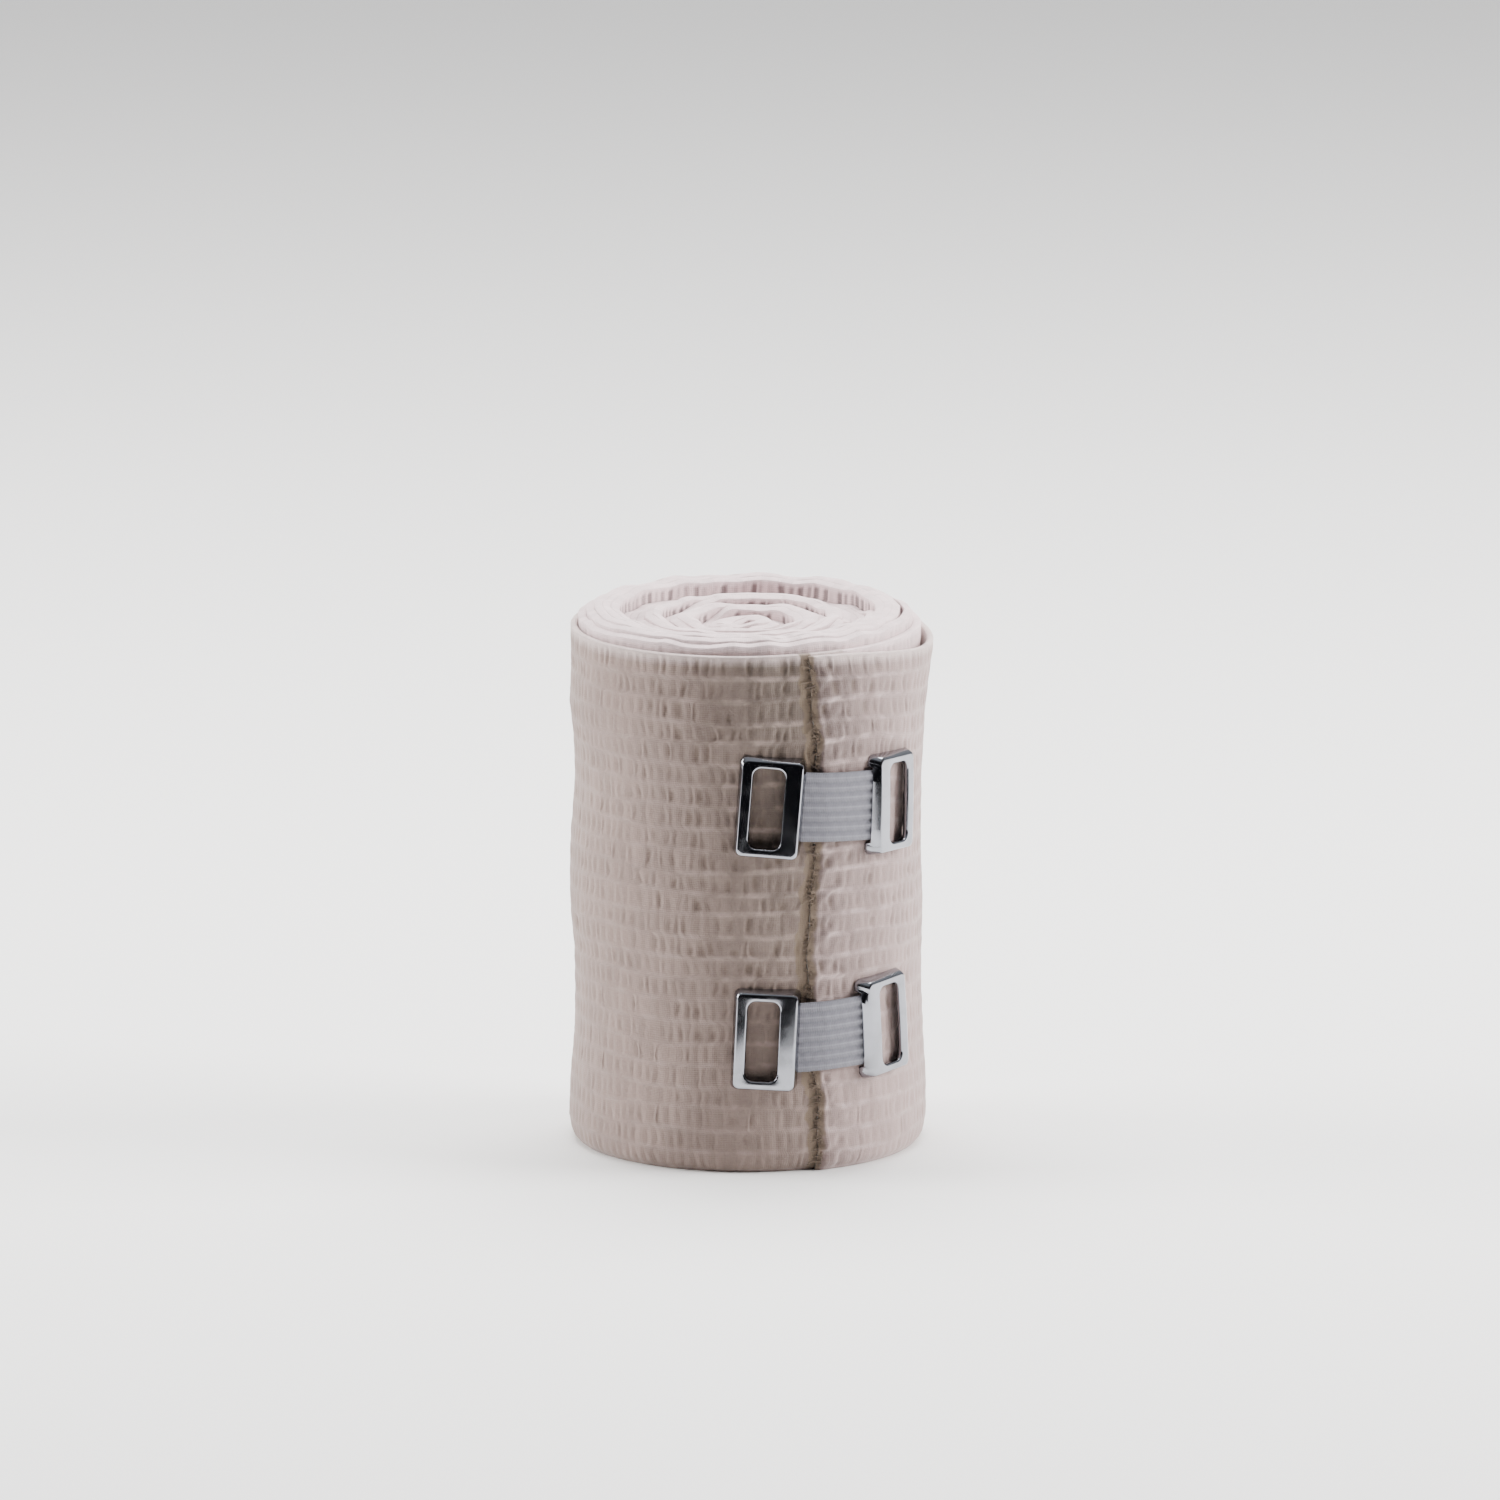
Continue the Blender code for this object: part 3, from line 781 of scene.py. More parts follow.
# %% Sizes of the clips, as in the solids
HOOK_WIDTH = 12.6
HOOK_HEIGHT = 19.4
HOOK_CORNER = 1.3
WINDOW_WIDTH = 6.2
WINDOW_HEIGHT = 15.2
WINDOW_CORNER = 1.6
OUTER_BAR = 2.6
FACE_CROWN = 0.2
FACE_LIFT = 0.2
BAND_HEIGHT = 13.4
BAND_THICK = 0.7
BAND_RIBS = 7
RIB_RISE = 0.22
BAND_TUCK = 2.2
BAND_LEAN_ANGLE = 26.0
BAND_FALL = 0.06
NOTCH = BAND_HEIGHT / 2.0 + 0.5
FOOT_START = 2.0
FOOT_STEPS = 6
FOOT_GAP = 0.12
INNER_BAR_REACH = 1.2
NOTCH_ROOM = 0.1
BAND_SINK = 0.15
CORNER_SHRINK = 0.4
CORNER_LEAST = 0.5
BEFORE_EDGE = 12.0
EDGE_SKIRT = 0.8
CREST_WINDINGS = np.array([4.0, 12.0, 20.0, 28.0])
CREST_OFFSETS = np.array([-7.0, 0.0, 7.0])

CLIPS = {
    # name: hooks as (side, angle, height, face radius, yaw, turn, pitch), band end heights
    "upper": (
        (("left", 7.4, 71.0, 35.1, 8.0, 4.5, 5.8), ("right", 53.2, 69.6, 35.8, -4.0, 2.5, 1.0)),
        (71.2, 69.8),
    ),
    "lower": (
        (("left", 6.0, 26.0, 35.1, 8.0, 2.6, 4.8), ("right", 49.4, 26.9, 35.8, -4.0, -2.6, 1.5)),
        (26.3, 26.7),
    ),
}
HOOK_SECTION = (
    # outline, how far in (rim) or out (window), share of the foot's depth, depth
    ("rim", 0.02, 1.0, 0.0),
    ("rim", 0.0, 0.92, 0.0),
    ("rim", 0.30, 0.45, 0.0),
    ("rim", 0.52, 0.0, 0.28),
    ("rim", 0.66, 0.0, 0.10),
    ("rim", 0.86, 0.0, 0.015),
    ("rim", 1.10, 0.0, 0.0),
    ("window", 0.42, 0.0, 0.0),
    ("window", 0.22, 0.0, 0.03),
    ("window", 0.08, 0.0, 0.12),
    ("window", 0.0, 0.0, 0.30),
    ("window", -0.12, 0.0, 0.95),
    ("window", 0.2, 0.0, 1.0),
    ("window", 0.45, 0.0, 0.5),
    ("rim", 1.0, 0.0, 0.5),
    ("rim", 0.5, 1.0, 0.0),
)


def cloth_radius(angle, height):
    """Outer radius of the outermost cloth: the loose end where it lies, else a turn in."""
    winding = np.mod(angle - FREE_EDGE + BEFORE_EDGE, 360.0) - BEFORE_EDGE
    on_loose_end = (winding > free_edge_offset(height) - EDGE_SKIRT) & (winding < LOOSE_SPAN)
    under = np.where(winding < LOOSE_SPAN, winding + 360.0, winding)
    return wall_radius(np.where(on_loose_end, winding, under), height)


def band_radius(angle, middle):
    """Inner radius of a band: clear of the loose end's crest, falling to the left hook."""
    crest = float(wall_radius(CREST_WINDINGS[:, None], middle + CREST_OFFSETS[None, :]).max())
    return crest + CLEARANCE - BAND_FALL * np.maximum(BAND_LEAN_ANGLE - angle, 0.0)


# %% A path round a hook
def round_path(width, height, corner, centre_u, side_parts):
    """Stations round a rectangle with round corners, from the middle of the right side."""
    half_u = width / 2.0
    half_v = height / 2.0
    bends = np.radians(np.linspace(0.0, 90.0, 8))
    rising = side_parts * (half_v - corner)
    flat = np.linspace(1.0, -1.0, 9)[1:-1] * (half_u - corner)
    sides = (
        (half_u + 0.0 * rising, rising),
        (flat, half_v + 0.0 * flat),
        (-half_u + 0.0 * rising, -rising),
        (-flat, -half_v + 0.0 * flat),
    )
    pieces = []
    for quarter, (su, sv) in enumerate(((1, 1), (-1, 1), (-1, -1), (1, -1))):
        turn = bends + math.pi / 2.0 * quarter
        bend_u = su * (half_u - corner) + corner * np.cos(turn)
        bend_v = sv * (half_v - corner) + corner * np.sin(turn)
        pieces += [sides[quarter], (bend_u, bend_v)]
    u, v = np.concatenate(pieces, axis=1)
    return np.stack([u + centre_u, v], axis=-1)


def hook_axes(angle, yaw, turn):
    """Right, up and outward directions of a hook that lies on the wall at an angle."""
    facing = math.radians(angle - yaw)
    outward = np.array([math.sin(facing), -math.cos(facing), 0.0])
    along = np.array([math.cos(facing), math.sin(facing), 0.0])
    upward = np.array([0.0, 0.0, 1.0])
    lean = math.radians(turn)
    right = along * math.cos(lean) - upward * math.sin(lean)
    up = upward * math.cos(lean) + along * math.sin(lean)
    return right, up, outward


# %% Stamp one hook
def stamp_hook(name, side, angle, height, face_radius, yaw, turn, pitch, middle):
    """A hook frame: its section carried round the path, feet stopped above the cloth."""
    right, up, outward = hook_axes(angle, yaw, turn)
    centre = polar(angle, face_radius, height)
    inner_side = 1.0 if side == "left" else -1.0
    shift = -inner_side * (HOOK_WIDTH / 2.0 - OUTER_BAR - WINDOW_WIDTH / 2.0)
    span = HOOK_HEIGHT / 2.0 - HOOK_CORNER
    edge = NOTCH / span
    rising = np.array([0.28, 0.55, edge, edge + 0.035, 0.97])
    parts = np.concatenate([-rising[::-1], [0.0], rising])

    def rim(inset):
        corner = max(HOOK_CORNER - CORNER_SHRINK * inset, CORNER_LEAST)
        return round_path(HOOK_WIDTH - 2 * inset, HOOK_HEIGHT - 2 * inset, corner, 0.0, parts)

    def window(out):
        corner = WINDOW_CORNER + out
        return round_path(WINDOW_WIDTH + 2 * out, WINDOW_HEIGHT + 2 * out, corner, shift, parts)

    def place(uv, depth):
        """Points at u, v and depth; the face is crowned and leans by its pitch."""
        high = uv[:, 1] / (HOOK_HEIGHT / 2.0)
        tilt = math.tan(math.radians(pitch)) * uv[:, 1]
        bent = depth - FACE_LIFT + FACE_CROWN * high**2 + tilt
        return centre + uv[:, :1] * right + uv[:, 1:] * up - bent[:, None] * outward

    def foot(uv):
        """Depth at which the section's foot stops, found by stepping it onto the cloth."""
        at_inner_bar = uv[:, 0] * inner_side > HOOK_WIDTH / 2.0 - INNER_BAR_REACH
        over_band = at_inner_bar & (np.abs(uv[:, 1]) < NOTCH + NOTCH_ROOM)
        depth = np.full(len(uv), FOOT_START)
        for _ in range(FOOT_STEPS):
            point = place(uv, depth)
            radius = np.hypot(point[:, 0], point[:, 1])
            bearing = np.degrees(np.arctan2(point[:, 0], -point[:, 1]))
            floor = np.where(
                over_band,
                band_radius(bearing, middle) + BAND_THICK + RIB_RISE - BAND_SINK,
                cloth_radius(bearing, point[:, 2]),
            )
            depth = depth + radius - floor - FOOT_GAP
        return depth

    outlines = {"rim": rim, "window": window}
    foot_depth = foot(rim(0.0))
    section = [
        place(outlines[outline](offset), foot_depth * share + depth)
        for outline, offset, share, depth in HOOK_SECTION
    ]
    points = np.stack(section, axis=1)[:, ::-1]
    quads = grid_faces(points.shape[0], points.shape[1], closed=True)
    return add_mesh(name, points, quads[:, ::-1])


# %% [markdown]
# The clips' bands
#
# Between its hooks a clip has a short band of ribbed elastic. Its section, seven round ribs
# on a flat back, is carried round the wall. It is a little narrower halfway, where the pull
# of the two hooks draws it in.

# %% Weave one band
BAND_STATIONS = 61
RIB_POINTS = 12
BACK_STEP = 6
CROWN_POWER = 1.6
NARROWING = 0.012
RIB_RIPPLE = 0.03
RIPPLE_ALONG = 58.0
RIPPLE_STEP = 1.7
GROOVE_SINK = 0.1


def weave_band(name, placings, end_heights):
    """A band: a ribbed section carried from one hook's inner bar to the other's."""
    tuck = math.degrees((HOOK_WIDTH / 2.0 - BAND_TUCK) / placings[0][3])
    share = np.linspace(0.0, 1.0, BAND_STATIONS)[:, None]
    start = placings[0][1] + tuck
    end = placings[1][1] - tuck
    angle = start + share * (end - start)
    level = end_heights[0] + share * (end_heights[1] - end_heights[0])
    middle = sum(end_heights) / 2.0
    rib = np.linspace(0.0, BAND_RIBS, BAND_RIBS * RIB_POINTS + 1)[None, :]
    crown = np.abs(np.sin(np.pi * rib)) ** CROWN_POWER
    narrow = 1.0 - NARROWING * np.sin(np.pi * share)
    across = (rib / BAND_RIBS - 0.5) * BAND_HEIGHT * narrow
    inner = band_radius(angle, middle)
    ripple = RIB_RIPPLE * np.sin(share * RIPPLE_ALONG + np.floor(rib) * RIPPLE_STEP)
    outer = inner + BAND_THICK - GROOVE_SINK + (RIB_RISE + GROOVE_SINK) * crown + ripple
    front = polar(angle + 0.0 * rib, outer, level + across)
    back_across = across[:, ::-BACK_STEP]
    back = polar(angle + 0.0 * back_across, inner + 0.0 * back_across, level + back_across)
    points = np.concatenate([front, back], axis=1)
    columns, around = points.shape[:2]
    quads = grid_faces(columns, around, closed=False)
    index = np.arange(1, around - 1)
    fan = np.stack([np.zeros_like(index), index, index + 1], axis=-1)
    caps = np.concatenate([fan, fan[:, ::-1] + (columns - 1) * around])
    along = np.radians(end - start) * END_RADIUS * share
    uv = np.stack([
        np.broadcast_to(along, (columns, around)),
        np.broadcast_to(np.concatenate([rib, rib[:, ::-BACK_STEP]], axis=1), (columns, around)),
    ], axis=-1)
    return add_mesh(name, points, quads, caps, uv)


hooks = {}
bands = {}
for clip, (placings, end_heights) in CLIPS.items():
    middle = sum(end_heights) / 2.0
    bands[clip] = weave_band(f"elastic_{clip}", placings, end_heights)
    for side, *placing in placings:
        hooks[clip, side] = stamp_hook(f"stamped_{clip}_{side}", side, *placing, middle)

# %% [markdown]
# Materials as node groups
#
# A finish that more than one material shares is a node group with named sockets, built once.
# The groups put out colours, masks and normals, and each material keeps its own shader.

# %% Helpers for node groups
def new_group(name, inputs, outputs):
    """An empty shader node group with its sockets, and its input and output nodes."""
    group = bpy.data.node_groups.new(name, "ShaderNodeTree")
    for socket, kind, value in inputs:
        made = group.interface.new_socket(socket, in_out="INPUT", socket_type=kind)
        made.default_value = value
    for socket, kind in outputs:
        group.interface.new_socket(socket, in_out="OUTPUT", socket_type=kind)
    return group, group.nodes.new("NodeGroupInput"), group.nodes.new("NodeGroupOutput")


def node(tree, kind, settings=None, **values):
    """A node with its settings and its sockets' values; a socket as a value is linked."""
    made = tree.nodes.new(kind)
    for key, value in (settings or {}).items():
        setattr(made, key, value)
    for key, value in values.items():
        numbered = key[0] == "i" and key[1:].isdigit()
        target = made.inputs[int(key[1:]) if numbered else key]
        if isinstance(value, bpy.types.NodeSocket):
            tree.links.new(value, target)
        else:
            target.default_value = value
    return made


def math_node(tree, operation, first, second=0.0, third=0.0):
    """One Math node's output."""
    made = node(tree, "ShaderNodeMath", {"operation": operation}, i0=first, i1=second, i2=third)
    return made.outputs[0]


def about_zero(tree, value, size):
    """A value of 0 to 1 as one from minus half the size to plus half the size."""
    return math_node(tree, "MULTIPLY_ADD", value, size, -size / 2.0)


def mixed(tree, share, first, second, blend="MIX"):
    """Colour between first and second."""
    settings = {"data_type": "RGBA", "blend_type": blend, "clamp_factor": True}
    made = node(tree, "ShaderNodeMix", settings, i0=share, i6=first, i7=second)
    return made.outputs[2]


def ramped(tree, value, low, high):
    """0 at low, 1 at high, and a soft step between."""
    settings = {"interpolation_type": "SMOOTHSTEP"}
    made = node(tree, "ShaderNodeMapRange", settings, i0=value, i1=low, i2=high)
    return made.outputs[0]


def noise(tree, place, scale, detail, **more):
    """A noise texture's value at a place."""
    made = node(tree, "ShaderNodeTexNoise", Vector=place, Scale=scale, Detail=detail, **more)
    return made.outputs[0]


def weave_uv(tree):
    """The piece's own U and V, and the two of them apart."""
    uv = node(tree, "ShaderNodeUVMap", {"uv_map": "weave"}).outputs[0]
    return uv, node(tree, "ShaderNodeSeparateXYZ", i0=uv)


def plug(tree, target, **sockets):
    """Link outputs to a node's inputs, named with underscores for spaces."""
    for socket, output in sockets.items():
        tree.links.new(output, target.inputs[socket.replace("_", " ")])


# %% [markdown]
# Crepe cloth
#
# Three things make the colour: the pale cords, the beige ribs and, in the pockets between
# them, a painted shade. The mesh carries masks, so the painted shade lies exactly where the
# relief is low, the cloth is browner where it is drawn thin by the seam and painted darker
# there for the shade on the front of the roll, more so higher up, its upper lip is painted
# paler for the light from above, it is plainer behind, and the raw edge is brown, with brown
# thread and the painted shadow of the lifted edge on the strip beside it. Fine threads are
# bump, in the same U and V as the ribs.

# %% The crepe group
COLOUR = "NodeSocketColor"
FLOAT = "NodeSocketFloat"
VECTOR = "NodeSocketVector"
GREY = (0.5, 0.5, 0.5, 1.0)
CREPE_PARTS = ("Rib", "Drawn", "Cord", "Lip", "Behind", "Behind Cord", "Slit", "Edge And Shadow")
THREADS_UPRIGHT = 5.0
THREADS_LEVEL = 11.0
THREAD_HEIGHT = 0.00012
UPRIGHT_SHARE = 0.2
LEVEL_SHARE = 0.35
FUZZ_SHARE = 2.6
CLOTH_ROUGHNESS = (0.12, 0.84)
# Noises, as scale and detail
BLOTCH_NOISE = (55.0, 3.0)
PATCH_NOISE = (320.0, 2.0)
FUZZ_NOISE = (1500.0, 4.0)
# How much each one changes the tone
TONE_OF_CELL = (0.16, 0.9)
TONE_OF_BLOTCH = 0.3
TONE_OF_FUZZ = 0.3
TONE_OF_PATCH = 0.9
# Where the masks start and end
CORD_LINE = (0.04, 0.2)
CORD_BROKEN = (0.36, 0.66)
CORD_SHARE = (0.6, 0.15)
POCKET_SHADE_FUZZ = 0.3
POCKET_SHADE_SPAN = (0.1, 1.0)
EDGE_SHADOW_UNEVEN = 1.4
EDGE_SHADOW_START = (0.0, 0.2)
EDGE_SHADOW_SPAN = (0.1, 0.65)
EDGE_SHADOW_MOST = 0.88


def crepe_group():
    """Colour, roughness and normal of crepe, from its U and V and its masks."""
    tree, given, put = new_group(
        "crepe",
        [(f"{part} Colour", COLOUR, GREY) for part in CREPE_PARTS]
        + [("Slit Share", FLOAT, 0.5), ("Thread Depth", FLOAT, 0.5)],
        [("Color", COLOUR), ("Roughness", FLOAT), ("Normal", VECTOR)],
    )
    tint = {part: given.outputs[f"{part} Colour"] for part in CREPE_PARTS}
    calc = partial(math_node, tree)
    uv, split = weave_uv(tree)
    place = node(tree, "ShaderNodeTexCoord").outputs["Object"]
    hollow, thin_and_shaded, lip, behind, edge_and_shadow = [
        node(tree, "ShaderNodeAttribute", {"attribute_name": mask}).outputs["Fac"]
        for mask in ("hollow", "thin_and_shaded", "lip", "behind", "edge_brown_and_shadow")
    ]

    blotch = noise(tree, place, *BLOTCH_NOISE)
    fuzz = noise(tree, place, *FUZZ_NOISE, Roughness=0.65)
    patchy = noise(tree, place, *PATCH_NOISE)
    cell_u = calc("FLOOR", split.outputs[0])
    cell_v = calc("FLOOR", split.outputs[1])
    cell = node(tree, "ShaderNodeCombineXYZ", i0=cell_u, i1=cell_v).outputs[0]
    chance = node(tree, "ShaderNodeTexWhiteNoise", {"noise_dimensions": "3D"}, Vector=cell)

    from_cord = calc("PINGPONG", split.outputs[1], 0.5)
    cord = calc("SUBTRACT", 1.0, ramped(tree, from_cord, *CORD_LINE))
    broken = calc("MULTIPLY_ADD", ramped(tree, patchy, *CORD_BROKEN), *CORD_SHARE)
    cord_share = calc("MULTIPLY", cord, broken)

    tone = calc("MULTIPLY_ADD", chance.outputs[0], *TONE_OF_CELL)
    blotched = about_zero(tree, blotch, TONE_OF_BLOTCH)
    fuzzy = about_zero(tree, fuzz, TONE_OF_FUZZ)
    # Random mottling where the cloth is drawn thin, which also paints the pale highlights of raised
    # threads near the seam
    mottled = calc("MULTIPLY", about_zero(tree, patchy, TONE_OF_PATCH), thin_and_shaded)
    for change in (blotched, fuzzy, mottled):
        tone = calc("ADD", tone, change)
    grey = node(tree, "ShaderNodeCombineColor", i0=tone, i1=tone, i2=tone).outputs[0]

    # Browner where drawn thin, and darker there as painted shade on the front of the roll
    plain = mixed(tree, thin_and_shaded, tint["Rib"], tint["Drawn"])
    plain = mixed(tree, behind, plain, tint["Behind"])
    cords = mixed(tree, behind, tint["Cord"], tint["Behind Cord"])
    colour = mixed(tree, cord_share, plain, cords)
    # Painted light: the upper lip is paler, for the light from above
    colour = mixed(tree, lip, colour, tint["Lip"])
    colour = mixed(tree, 1.0, colour, grey, "MULTIPLY")
    fuzzy_hollow = calc("ADD", hollow, about_zero(tree, fuzz, POCKET_SHADE_FUZZ))
    # Painted shade: the cloth is darkened where a pocket is deep, standing in for the shade inside
    # it
    pocket_shade = ramped(tree, fuzzy_hollow, *POCKET_SHADE_SPAN)
    pocket_shade_share = calc("MULTIPLY", pocket_shade, given.outputs["Slit Share"])
    colour = mixed(tree, pocket_shade_share, colour, tint["Slit"])
    # Brown raw edge and threads, and beside the edge the painted shadow of the lifted loose end
    uneven = calc("ADD", edge_and_shadow, about_zero(tree, patchy, EDGE_SHADOW_UNEVEN))
    uneven = calc("MULTIPLY", uneven, ramped(tree, edge_and_shadow, *EDGE_SHADOW_START))
    edge_shadow_share = calc("MULTIPLY", ramped(tree, uneven, *EDGE_SHADOW_SPAN), EDGE_SHADOW_MOST)
    colour = mixed(tree, edge_shadow_share, colour, tint["Edge And Shadow"])

    along = calc("MULTIPLY", split.outputs[0], 2.0 * math.pi * THREADS_UPRIGHT)
    up = calc("MULTIPLY", split.outputs[1], 2.0 * math.pi * THREADS_LEVEL)
    level = calc("MULTIPLY", calc("SINE", up), LEVEL_SHARE)
    threads = calc("MULTIPLY_ADD", calc("SINE", along), UPRIGHT_SHARE, level)
    height = calc("ADD", threads, calc("MULTIPLY", fuzz, FUZZ_SHARE))
    depth = given.outputs["Thread Depth"]
    bump = node(tree, "ShaderNodeBump", Strength=depth, Distance=THREAD_HEIGHT, Height=height)
    roughness = calc("MULTIPLY_ADD", fuzz, *CLOTH_ROUGHNESS)
    plug(tree, put, Color=colour, Roughness=roughness, Normal=bump.outputs[0])
    return tree


CREPE = crepe_group()
print("nodes in the crepe group:", len(CREPE.nodes))


# %% Cloth materials
THREAD_DEPTH = 0.35
SHARED_COLOURS = {
    # The upper lip's paler colour is painted light from above
    "Lip": (0.50, 0.41, 0.39),
    "Behind": (0.285, 0.212, 0.19),
    "Behind Cord": (0.345, 0.268, 0.247),
    # Painted shade in the pockets between the ribs
    "Slit": (0.095, 0.069, 0.05),
    # Brown of the raw edge, also used as the painted shadow beside it
    "Edge And Shadow": (0.18, 0.135, 0.097),
}


def principled(name, **constants):
    """A material with a Principled shader and its constant sockets set."""
    made = bpy.data.materials.new(name)
    made.use_nodes = True
    shader = made.node_tree.nodes["Principled BSDF"]
    for socket, value in constants.items():
        shader.inputs[socket.replace("_", " ")].default_value = value
    return made, shader


def dress_in_crepe(piece, name, pocket_shade_share, **colours):
    """Give a piece a crepe cloth: the shared group with this cloth's own colours."""
    made, shader = principled(name, Sheen_Weight=0.25, Sheen_Roughness=0.5, Specular_IOR_Level=0.25)
    weave = made.node_tree.nodes.new("ShaderNodeGroup")
    weave.node_tree = CREPE
    weave.inputs["Slit Share"].default_value = pocket_shade_share
    weave.inputs["Thread Depth"].default_value = THREAD_DEPTH
    for part, tint in {**SHARED_COLOURS, **colours}.items():
        weave.inputs[f"{part} Colour"].default_value = (*tint, 1.0)
    colour, roughness, normal = weave.outputs
    plug(made.node_tree, shader, Base_Color=colour, Roughness=roughness, Normal=normal)
    piece.data.materials.append(made)


dress_in_crepe(
    outer_turn, "crepe_wall", 0.42,
    Rib=(0.26, 0.192, 0.168), Drawn=(0.127, 0.10, 0.084), Cord=(0.29, 0.223, 0.198),
)
dress_in_crepe(
    loose_cloth, "crepe_loose", 0.42,
    Rib=(0.34, 0.254, 0.238), Drawn=(0.115, 0.087, 0.08), Cord=(0.39, 0.305, 0.29),
)
# The inside turns, seen only on top, get a far paler copy of the cloth: painted light from above.
# Their pockets get a near-black painted shade.
dress_in_crepe(
    inner_turns, "crepe_inside_lit", 0.72,
    Rib=(0.66, 0.525, 0.525), Drawn=(0.63, 0.50, 0.495), Cord=(0.68, 0.55, 0.555),
    Lip=(0.67, 0.535, 0.54), Slit=(0.055, 0.043, 0.042),
)

# %% [markdown]
# Bright stamped metal and ribbed elastic
#
# Nickel-plated sheet is a mirror with a slight haze and fine rubbing marks, so its look is
# nearly all reflection: roughness varies a little, and a very fine bump bends the light.
# The elastic is greyish white, with painted shade in its grooves and a painted highlight along
# its crests, and a cross thread every third of a millimetre.

# %% Metal and elastic materials
CLEAN_METAL = (0.32, 0.327, 0.36, 1.0)
HAZED_METAL = (0.28, 0.286, 0.31, 1.0)
RUB_STRETCH = (900.0, 900.0, 60.0)
BAND_PLAIN = (0.145, 0.145, 0.17, 1.0)
BAND_GROOVE_SHADE = (0.125, 0.125, 0.146, 1.0)
BAND_CREST_HIGHLIGHT = (0.225, 0.225, 0.25, 1.0)
BAND_LINT = (0.22, 0.22, 0.242, 1.0)
CROSS_THREADS = 3.0


def handled_metal_group():
    """Roughness and normal of plated sheet that has been handled: haze and rubbing marks."""
    tree, given, put = new_group(
        "handled_metal",
        [("Clean Roughness", FLOAT, 0.1), ("Haze", FLOAT, 0.08)],
        [("Roughness", FLOAT), ("Normal", VECTOR), ("Haze Mask", FLOAT)],
    )
    place = node(tree, "ShaderNodeTexCoord").outputs["Object"]
    stretched = node(tree, "ShaderNodeMapping", Vector=place, Scale=RUB_STRETCH).outputs[0]
    mask = ramped(tree, noise(tree, place, 260.0, 4.0), 0.42, 0.72)
    clean, haze = given.outputs["Clean Roughness"], given.outputs["Haze"]
    rough = math_node(tree, "MULTIPLY_ADD", mask, haze, clean)
    rub = noise(tree, stretched, 1.0, 2.0)
    bump = node(tree, "ShaderNodeBump", Strength=0.04, Distance=0.00004, Height=rub)
    plug(tree, put, Roughness=rough, Normal=bump.outputs[0], Haze_Mask=mask)
    return tree


def hook_material():
    """Bright plated steel: a mirror whose tint follows its haze."""
    made, shader = principled("hook_metal", Metallic=1.0)
    tree = made.node_tree
    handled = tree.nodes.new("ShaderNodeGroup")
    handled.node_tree = handled_metal_group()
    roughness, normal, haze_mask = handled.outputs
    tint = mixed(tree, haze_mask, CLEAN_METAL, HAZED_METAL)
    plug(tree, shader, Base_Color=tint, Roughness=roughness, Normal=normal)
    return made


def band_material():
    """Ribbed elastic: painted shade in the grooves, a painted highlight on the crests, lint, and
    cross threads as bump.
    """
    made, shader = principled("band_elastic", Sheen_Weight=0.2, Specular_IOR_Level=0.3)
    tree = made.node_tree
    calc = partial(math_node, tree)
    uv, split = weave_uv(tree)
    valley = calc("PINGPONG", split.outputs[1], 0.5)
    # Painted shade in the grooves and a painted highlight along the crests
    groove_shade = calc("SUBTRACT", 1.0, ramped(tree, valley, 0.02, 0.22))
    crest = calc("MULTIPLY", ramped(tree, valley, 0.34, 0.5), 0.6)
    lint = noise(tree, uv, 6.0, 4.0)
    colour = mixed(tree, groove_shade, BAND_PLAIN, BAND_GROOVE_SHADE)
    colour = mixed(tree, crest, colour, BAND_CREST_HIGHLIGHT)
    colour = mixed(tree, calc("MULTIPLY", lint, 0.35), colour, BAND_LINT)
    across = calc("MULTIPLY", split.outputs[0], 2.0 * math.pi * CROSS_THREADS)
    height = calc("MULTIPLY_ADD", calc("SINE", across), 0.5, lint)
    bump = node(tree, "ShaderNodeBump", Strength=0.5, Distance=0.0001, Height=height)
    roughness = calc("MULTIPLY_ADD", lint, 0.15, 0.7)
    plug(tree, shader, Base_Color=colour, Roughness=roughness, Normal=bump.outputs[0])
    return made


for pieces, material in ((hooks, hook_material()), (bands, band_material())):
    for piece in pieces.values():
        piece.data.materials.append(material)
print("materials:", sorted(material.name for material in bpy.data.materials))

# %% [markdown]
# Riding on the body, in place of the solids
#
# Each piece rides on the one body and hides the solid that it stands for.

# %% Ride and replace
def stand_for(piece, slot, *nodes):
    """The piece rides on the body and hides its solids; the slot is not used."""
    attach(piece, "root")
    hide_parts(*nodes)


for piece, solid, first, last, more in (
    (loose_cloth, "loose_end", 0.0, LOOSE_SPAN, {"rests_on": [outer_turn]}),
    (outer_turn, "roll", LOOSE_SPAN, TUCKED_UNDER, {}),
    (inner_turns, "roll", TUCKED_UNDER, CORE_WINDING, {}),
):
    stand_for(piece, "bandage_cloth", solid)
for (clip, side), piece in hooks.items():
    stand_for(piece, "hook_metal", f"hook_{clip}_{side}")
for clip, piece in bands.items():
    stand_for(piece, "band_elastic", f"band_{clip}")

# %% [markdown]
# Studio, floor and camera
#
# The reference was lit from both sides and from above, with little light from the front, so
# the sides and the rim glow and the middle of the wall is darker. A pale level floor gives a
# plain ground. It ends half a metre in front, where the room is dark, so the metal has
# something dark to mirror, and the right lamp isn't mirrored at all. The camera sees a pale
# room behind the floor. It looks down by twelve degrees through a very long lens.

# %% Floor
FLOOR_REACH = 9.0
FLOOR_FRONT = -0.45
FLOOR_TONES = ((0.88, 0.875, 0.86, 1.0), (0.91, 0.905, 0.89, 1.0))


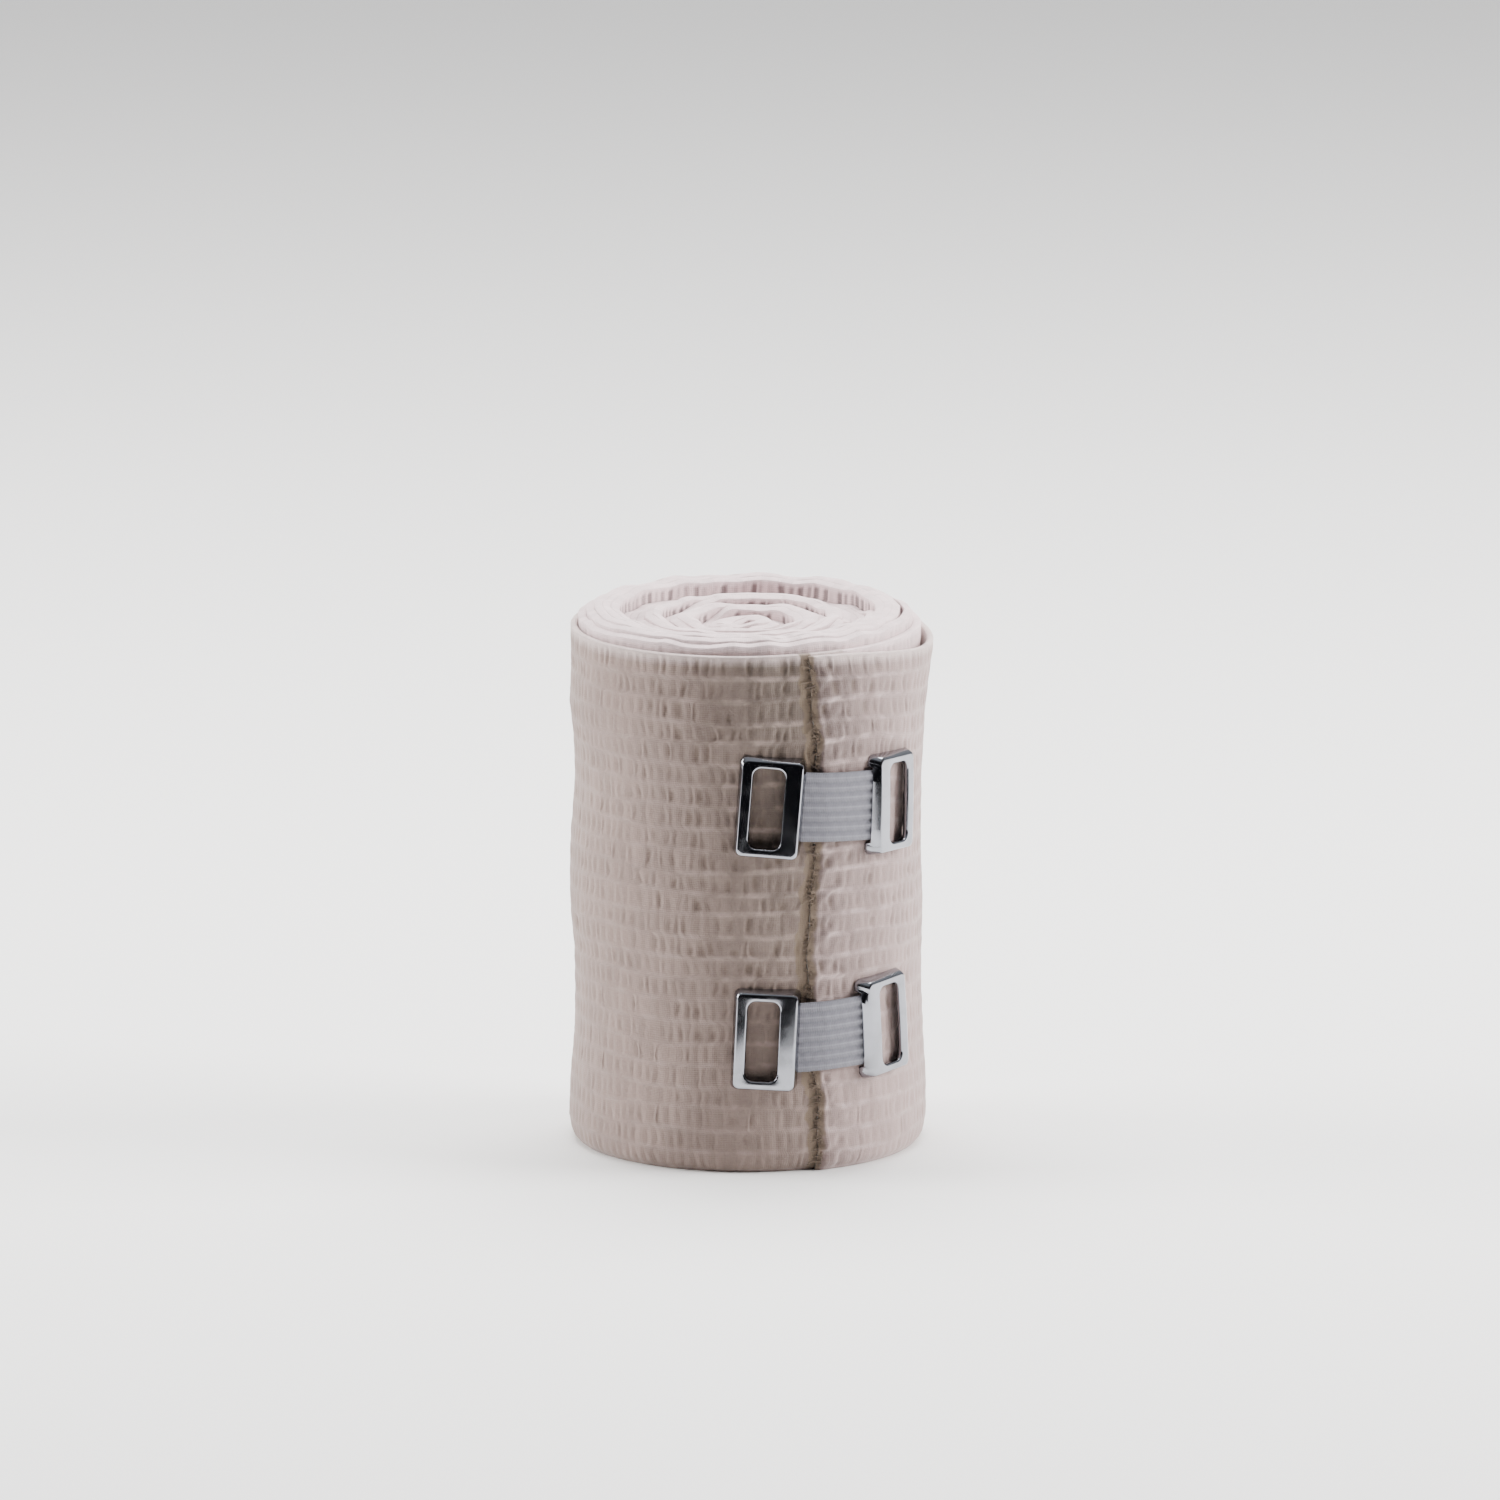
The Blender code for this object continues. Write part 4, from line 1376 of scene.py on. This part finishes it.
def table_top():
    """A level sheet of ground: its corners, as one quad."""
    x = np.array([-1.0, 1.0, 1.0, -1.0]) * FLOOR_REACH
    y = np.array([FLOOR_FRONT, FLOOR_FRONT, FLOOR_REACH, FLOOR_REACH])
    points = np.stack([x, y, np.zeros(4)], axis=-1)
    return add_mesh("ground", points / MM, np.array([[0, 1, 2, 3]]))


ground = table_top()
pale, pale_shader = principled("pale_ground", Roughness=0.75)
speck = node(pale.node_tree, "ShaderNodeTexNoise", Scale=3.0, Detail=2.0).outputs[0]
plug(pale.node_tree, pale_shader, Base_Color=mixed(pale.node_tree, speck, *FLOOR_TONES))
ground.data.materials.append(pale)


# %% Lights
def softbox(name, place, target, size, power, colour=(1.0, 1.0, 1.0)):
    """A rectangular area light at a place, turned to its target; sizes in metres."""
    light = bpy.data.lights.new(name, "AREA")
    light.shape = "RECTANGLE"
    light.size, light.size_y = size
    light.energy = power
    light.color = colour
    lamp = bpy.data.objects.new(name, light)
    bpy.context.scene.collection.objects.link(lamp)
    aim = np.array(target) - np.array(place)
    aim = aim / np.linalg.norm(aim)
    yaw = math.atan2(aim[0], -aim[1])
    lamp.location = place
    lamp.rotation_euler = (math.acos(-aim[2]), 0.0, yaw + math.pi)
    return lamp


MIDDLE = (0.0, 0.0, 0.055)
softbox("side_left", (-1.15, 0.1, 0.5), MIDDLE, (0.6, 0.8), 26.0, (1.0, 0.97, 0.96))
right = softbox("side_right", (1.15, -0.06, 0.5), MIDDLE, (0.6, 0.8), 40.0, (1.0, 0.98, 0.98))
right.visible_glossy = False
softbox("overhead", (0.0, 0.3, 0.85), MIDDLE, (0.8, 0.6), 21.0)
print("lamps, watts:", {lamp.name: lamp.energy for lamp in bpy.data.lights})

# %% The room
ROOM_DARK = (0.02, 0.02, 0.024, 1.0)
ROOM_BRIGHT = (0.9, 0.92, 0.95, 1.0)
BACKDROP = (3.1, 3.1, 3.1, 1.0)
ROOM_STRENGTH = 0.6
world = bpy.data.worlds.new("studio")
bpy.context.scene.world = world
world.use_nodes = True
sky = world.node_tree
direction = node(sky, "ShaderNodeTexCoord").outputs["Generated"]
way = node(sky, "ShaderNodeSeparateXYZ", i0=direction)
behind = ramped(sky, way.outputs[1], -0.3, 0.5)
above = ramped(sky, way.outputs[2], 0.3, 0.95)
lit = math_node(sky, "MAXIMUM", behind, above)
room = mixed(sky, lit, ROOM_DARK, ROOM_BRIGHT)
seen = node(sky, "ShaderNodeLightPath").outputs["Is Camera Ray"]
background = sky.nodes["Background"]
plug(sky, background, Color=mixed(sky, seen, room, BACKDROP))
background.inputs["Strength"].default_value = ROOM_STRENGTH

# %% Camera
PIXELS_PER_MM = 5.25
LENS = 500.0
SENSOR = 36.0
ELEVATION = 12.0
AXIS_COLUMN = 746.0
FRAME_PIXELS = 1500
FLOOR_ROW = 1136.0


def set_camera():
    """A long lens whose frame is as wide at the roll as the reference's 1500 pixels."""
    frame_width = FRAME_PIXELS / PIXELS_PER_MM
    distance = frame_width * LENS / SENSOR
    tilt = math.radians(ELEVATION)
    aim_x = (FRAME_PIXELS / 2.0 - AXIS_COLUMN) / PIXELS_PER_MM
    aim_z = (FLOOR_ROW - FRAME_PIXELS / 2.0) / (PIXELS_PER_MM * math.cos(tilt))
    data = bpy.data.cameras.new("view")
    data.lens = LENS
    data.sensor_width = SENSOR
    data.clip_start = 0.05
    camera = bpy.data.objects.new("view", data)
    camera.location = (
        aim_x * MM,
        -distance * math.cos(tilt) * MM,
        (aim_z + distance * math.sin(tilt)) * MM,
    )
    camera.rotation_euler = (math.pi / 2.0 - tilt, 0.0, 0.0)
    bpy.context.scene.collection.objects.link(camera)
    bpy.context.scene.camera = camera
    print("camera distance, mm:", round(distance))


set_camera()

# %% Finish
bpy.context.view_layer.update()
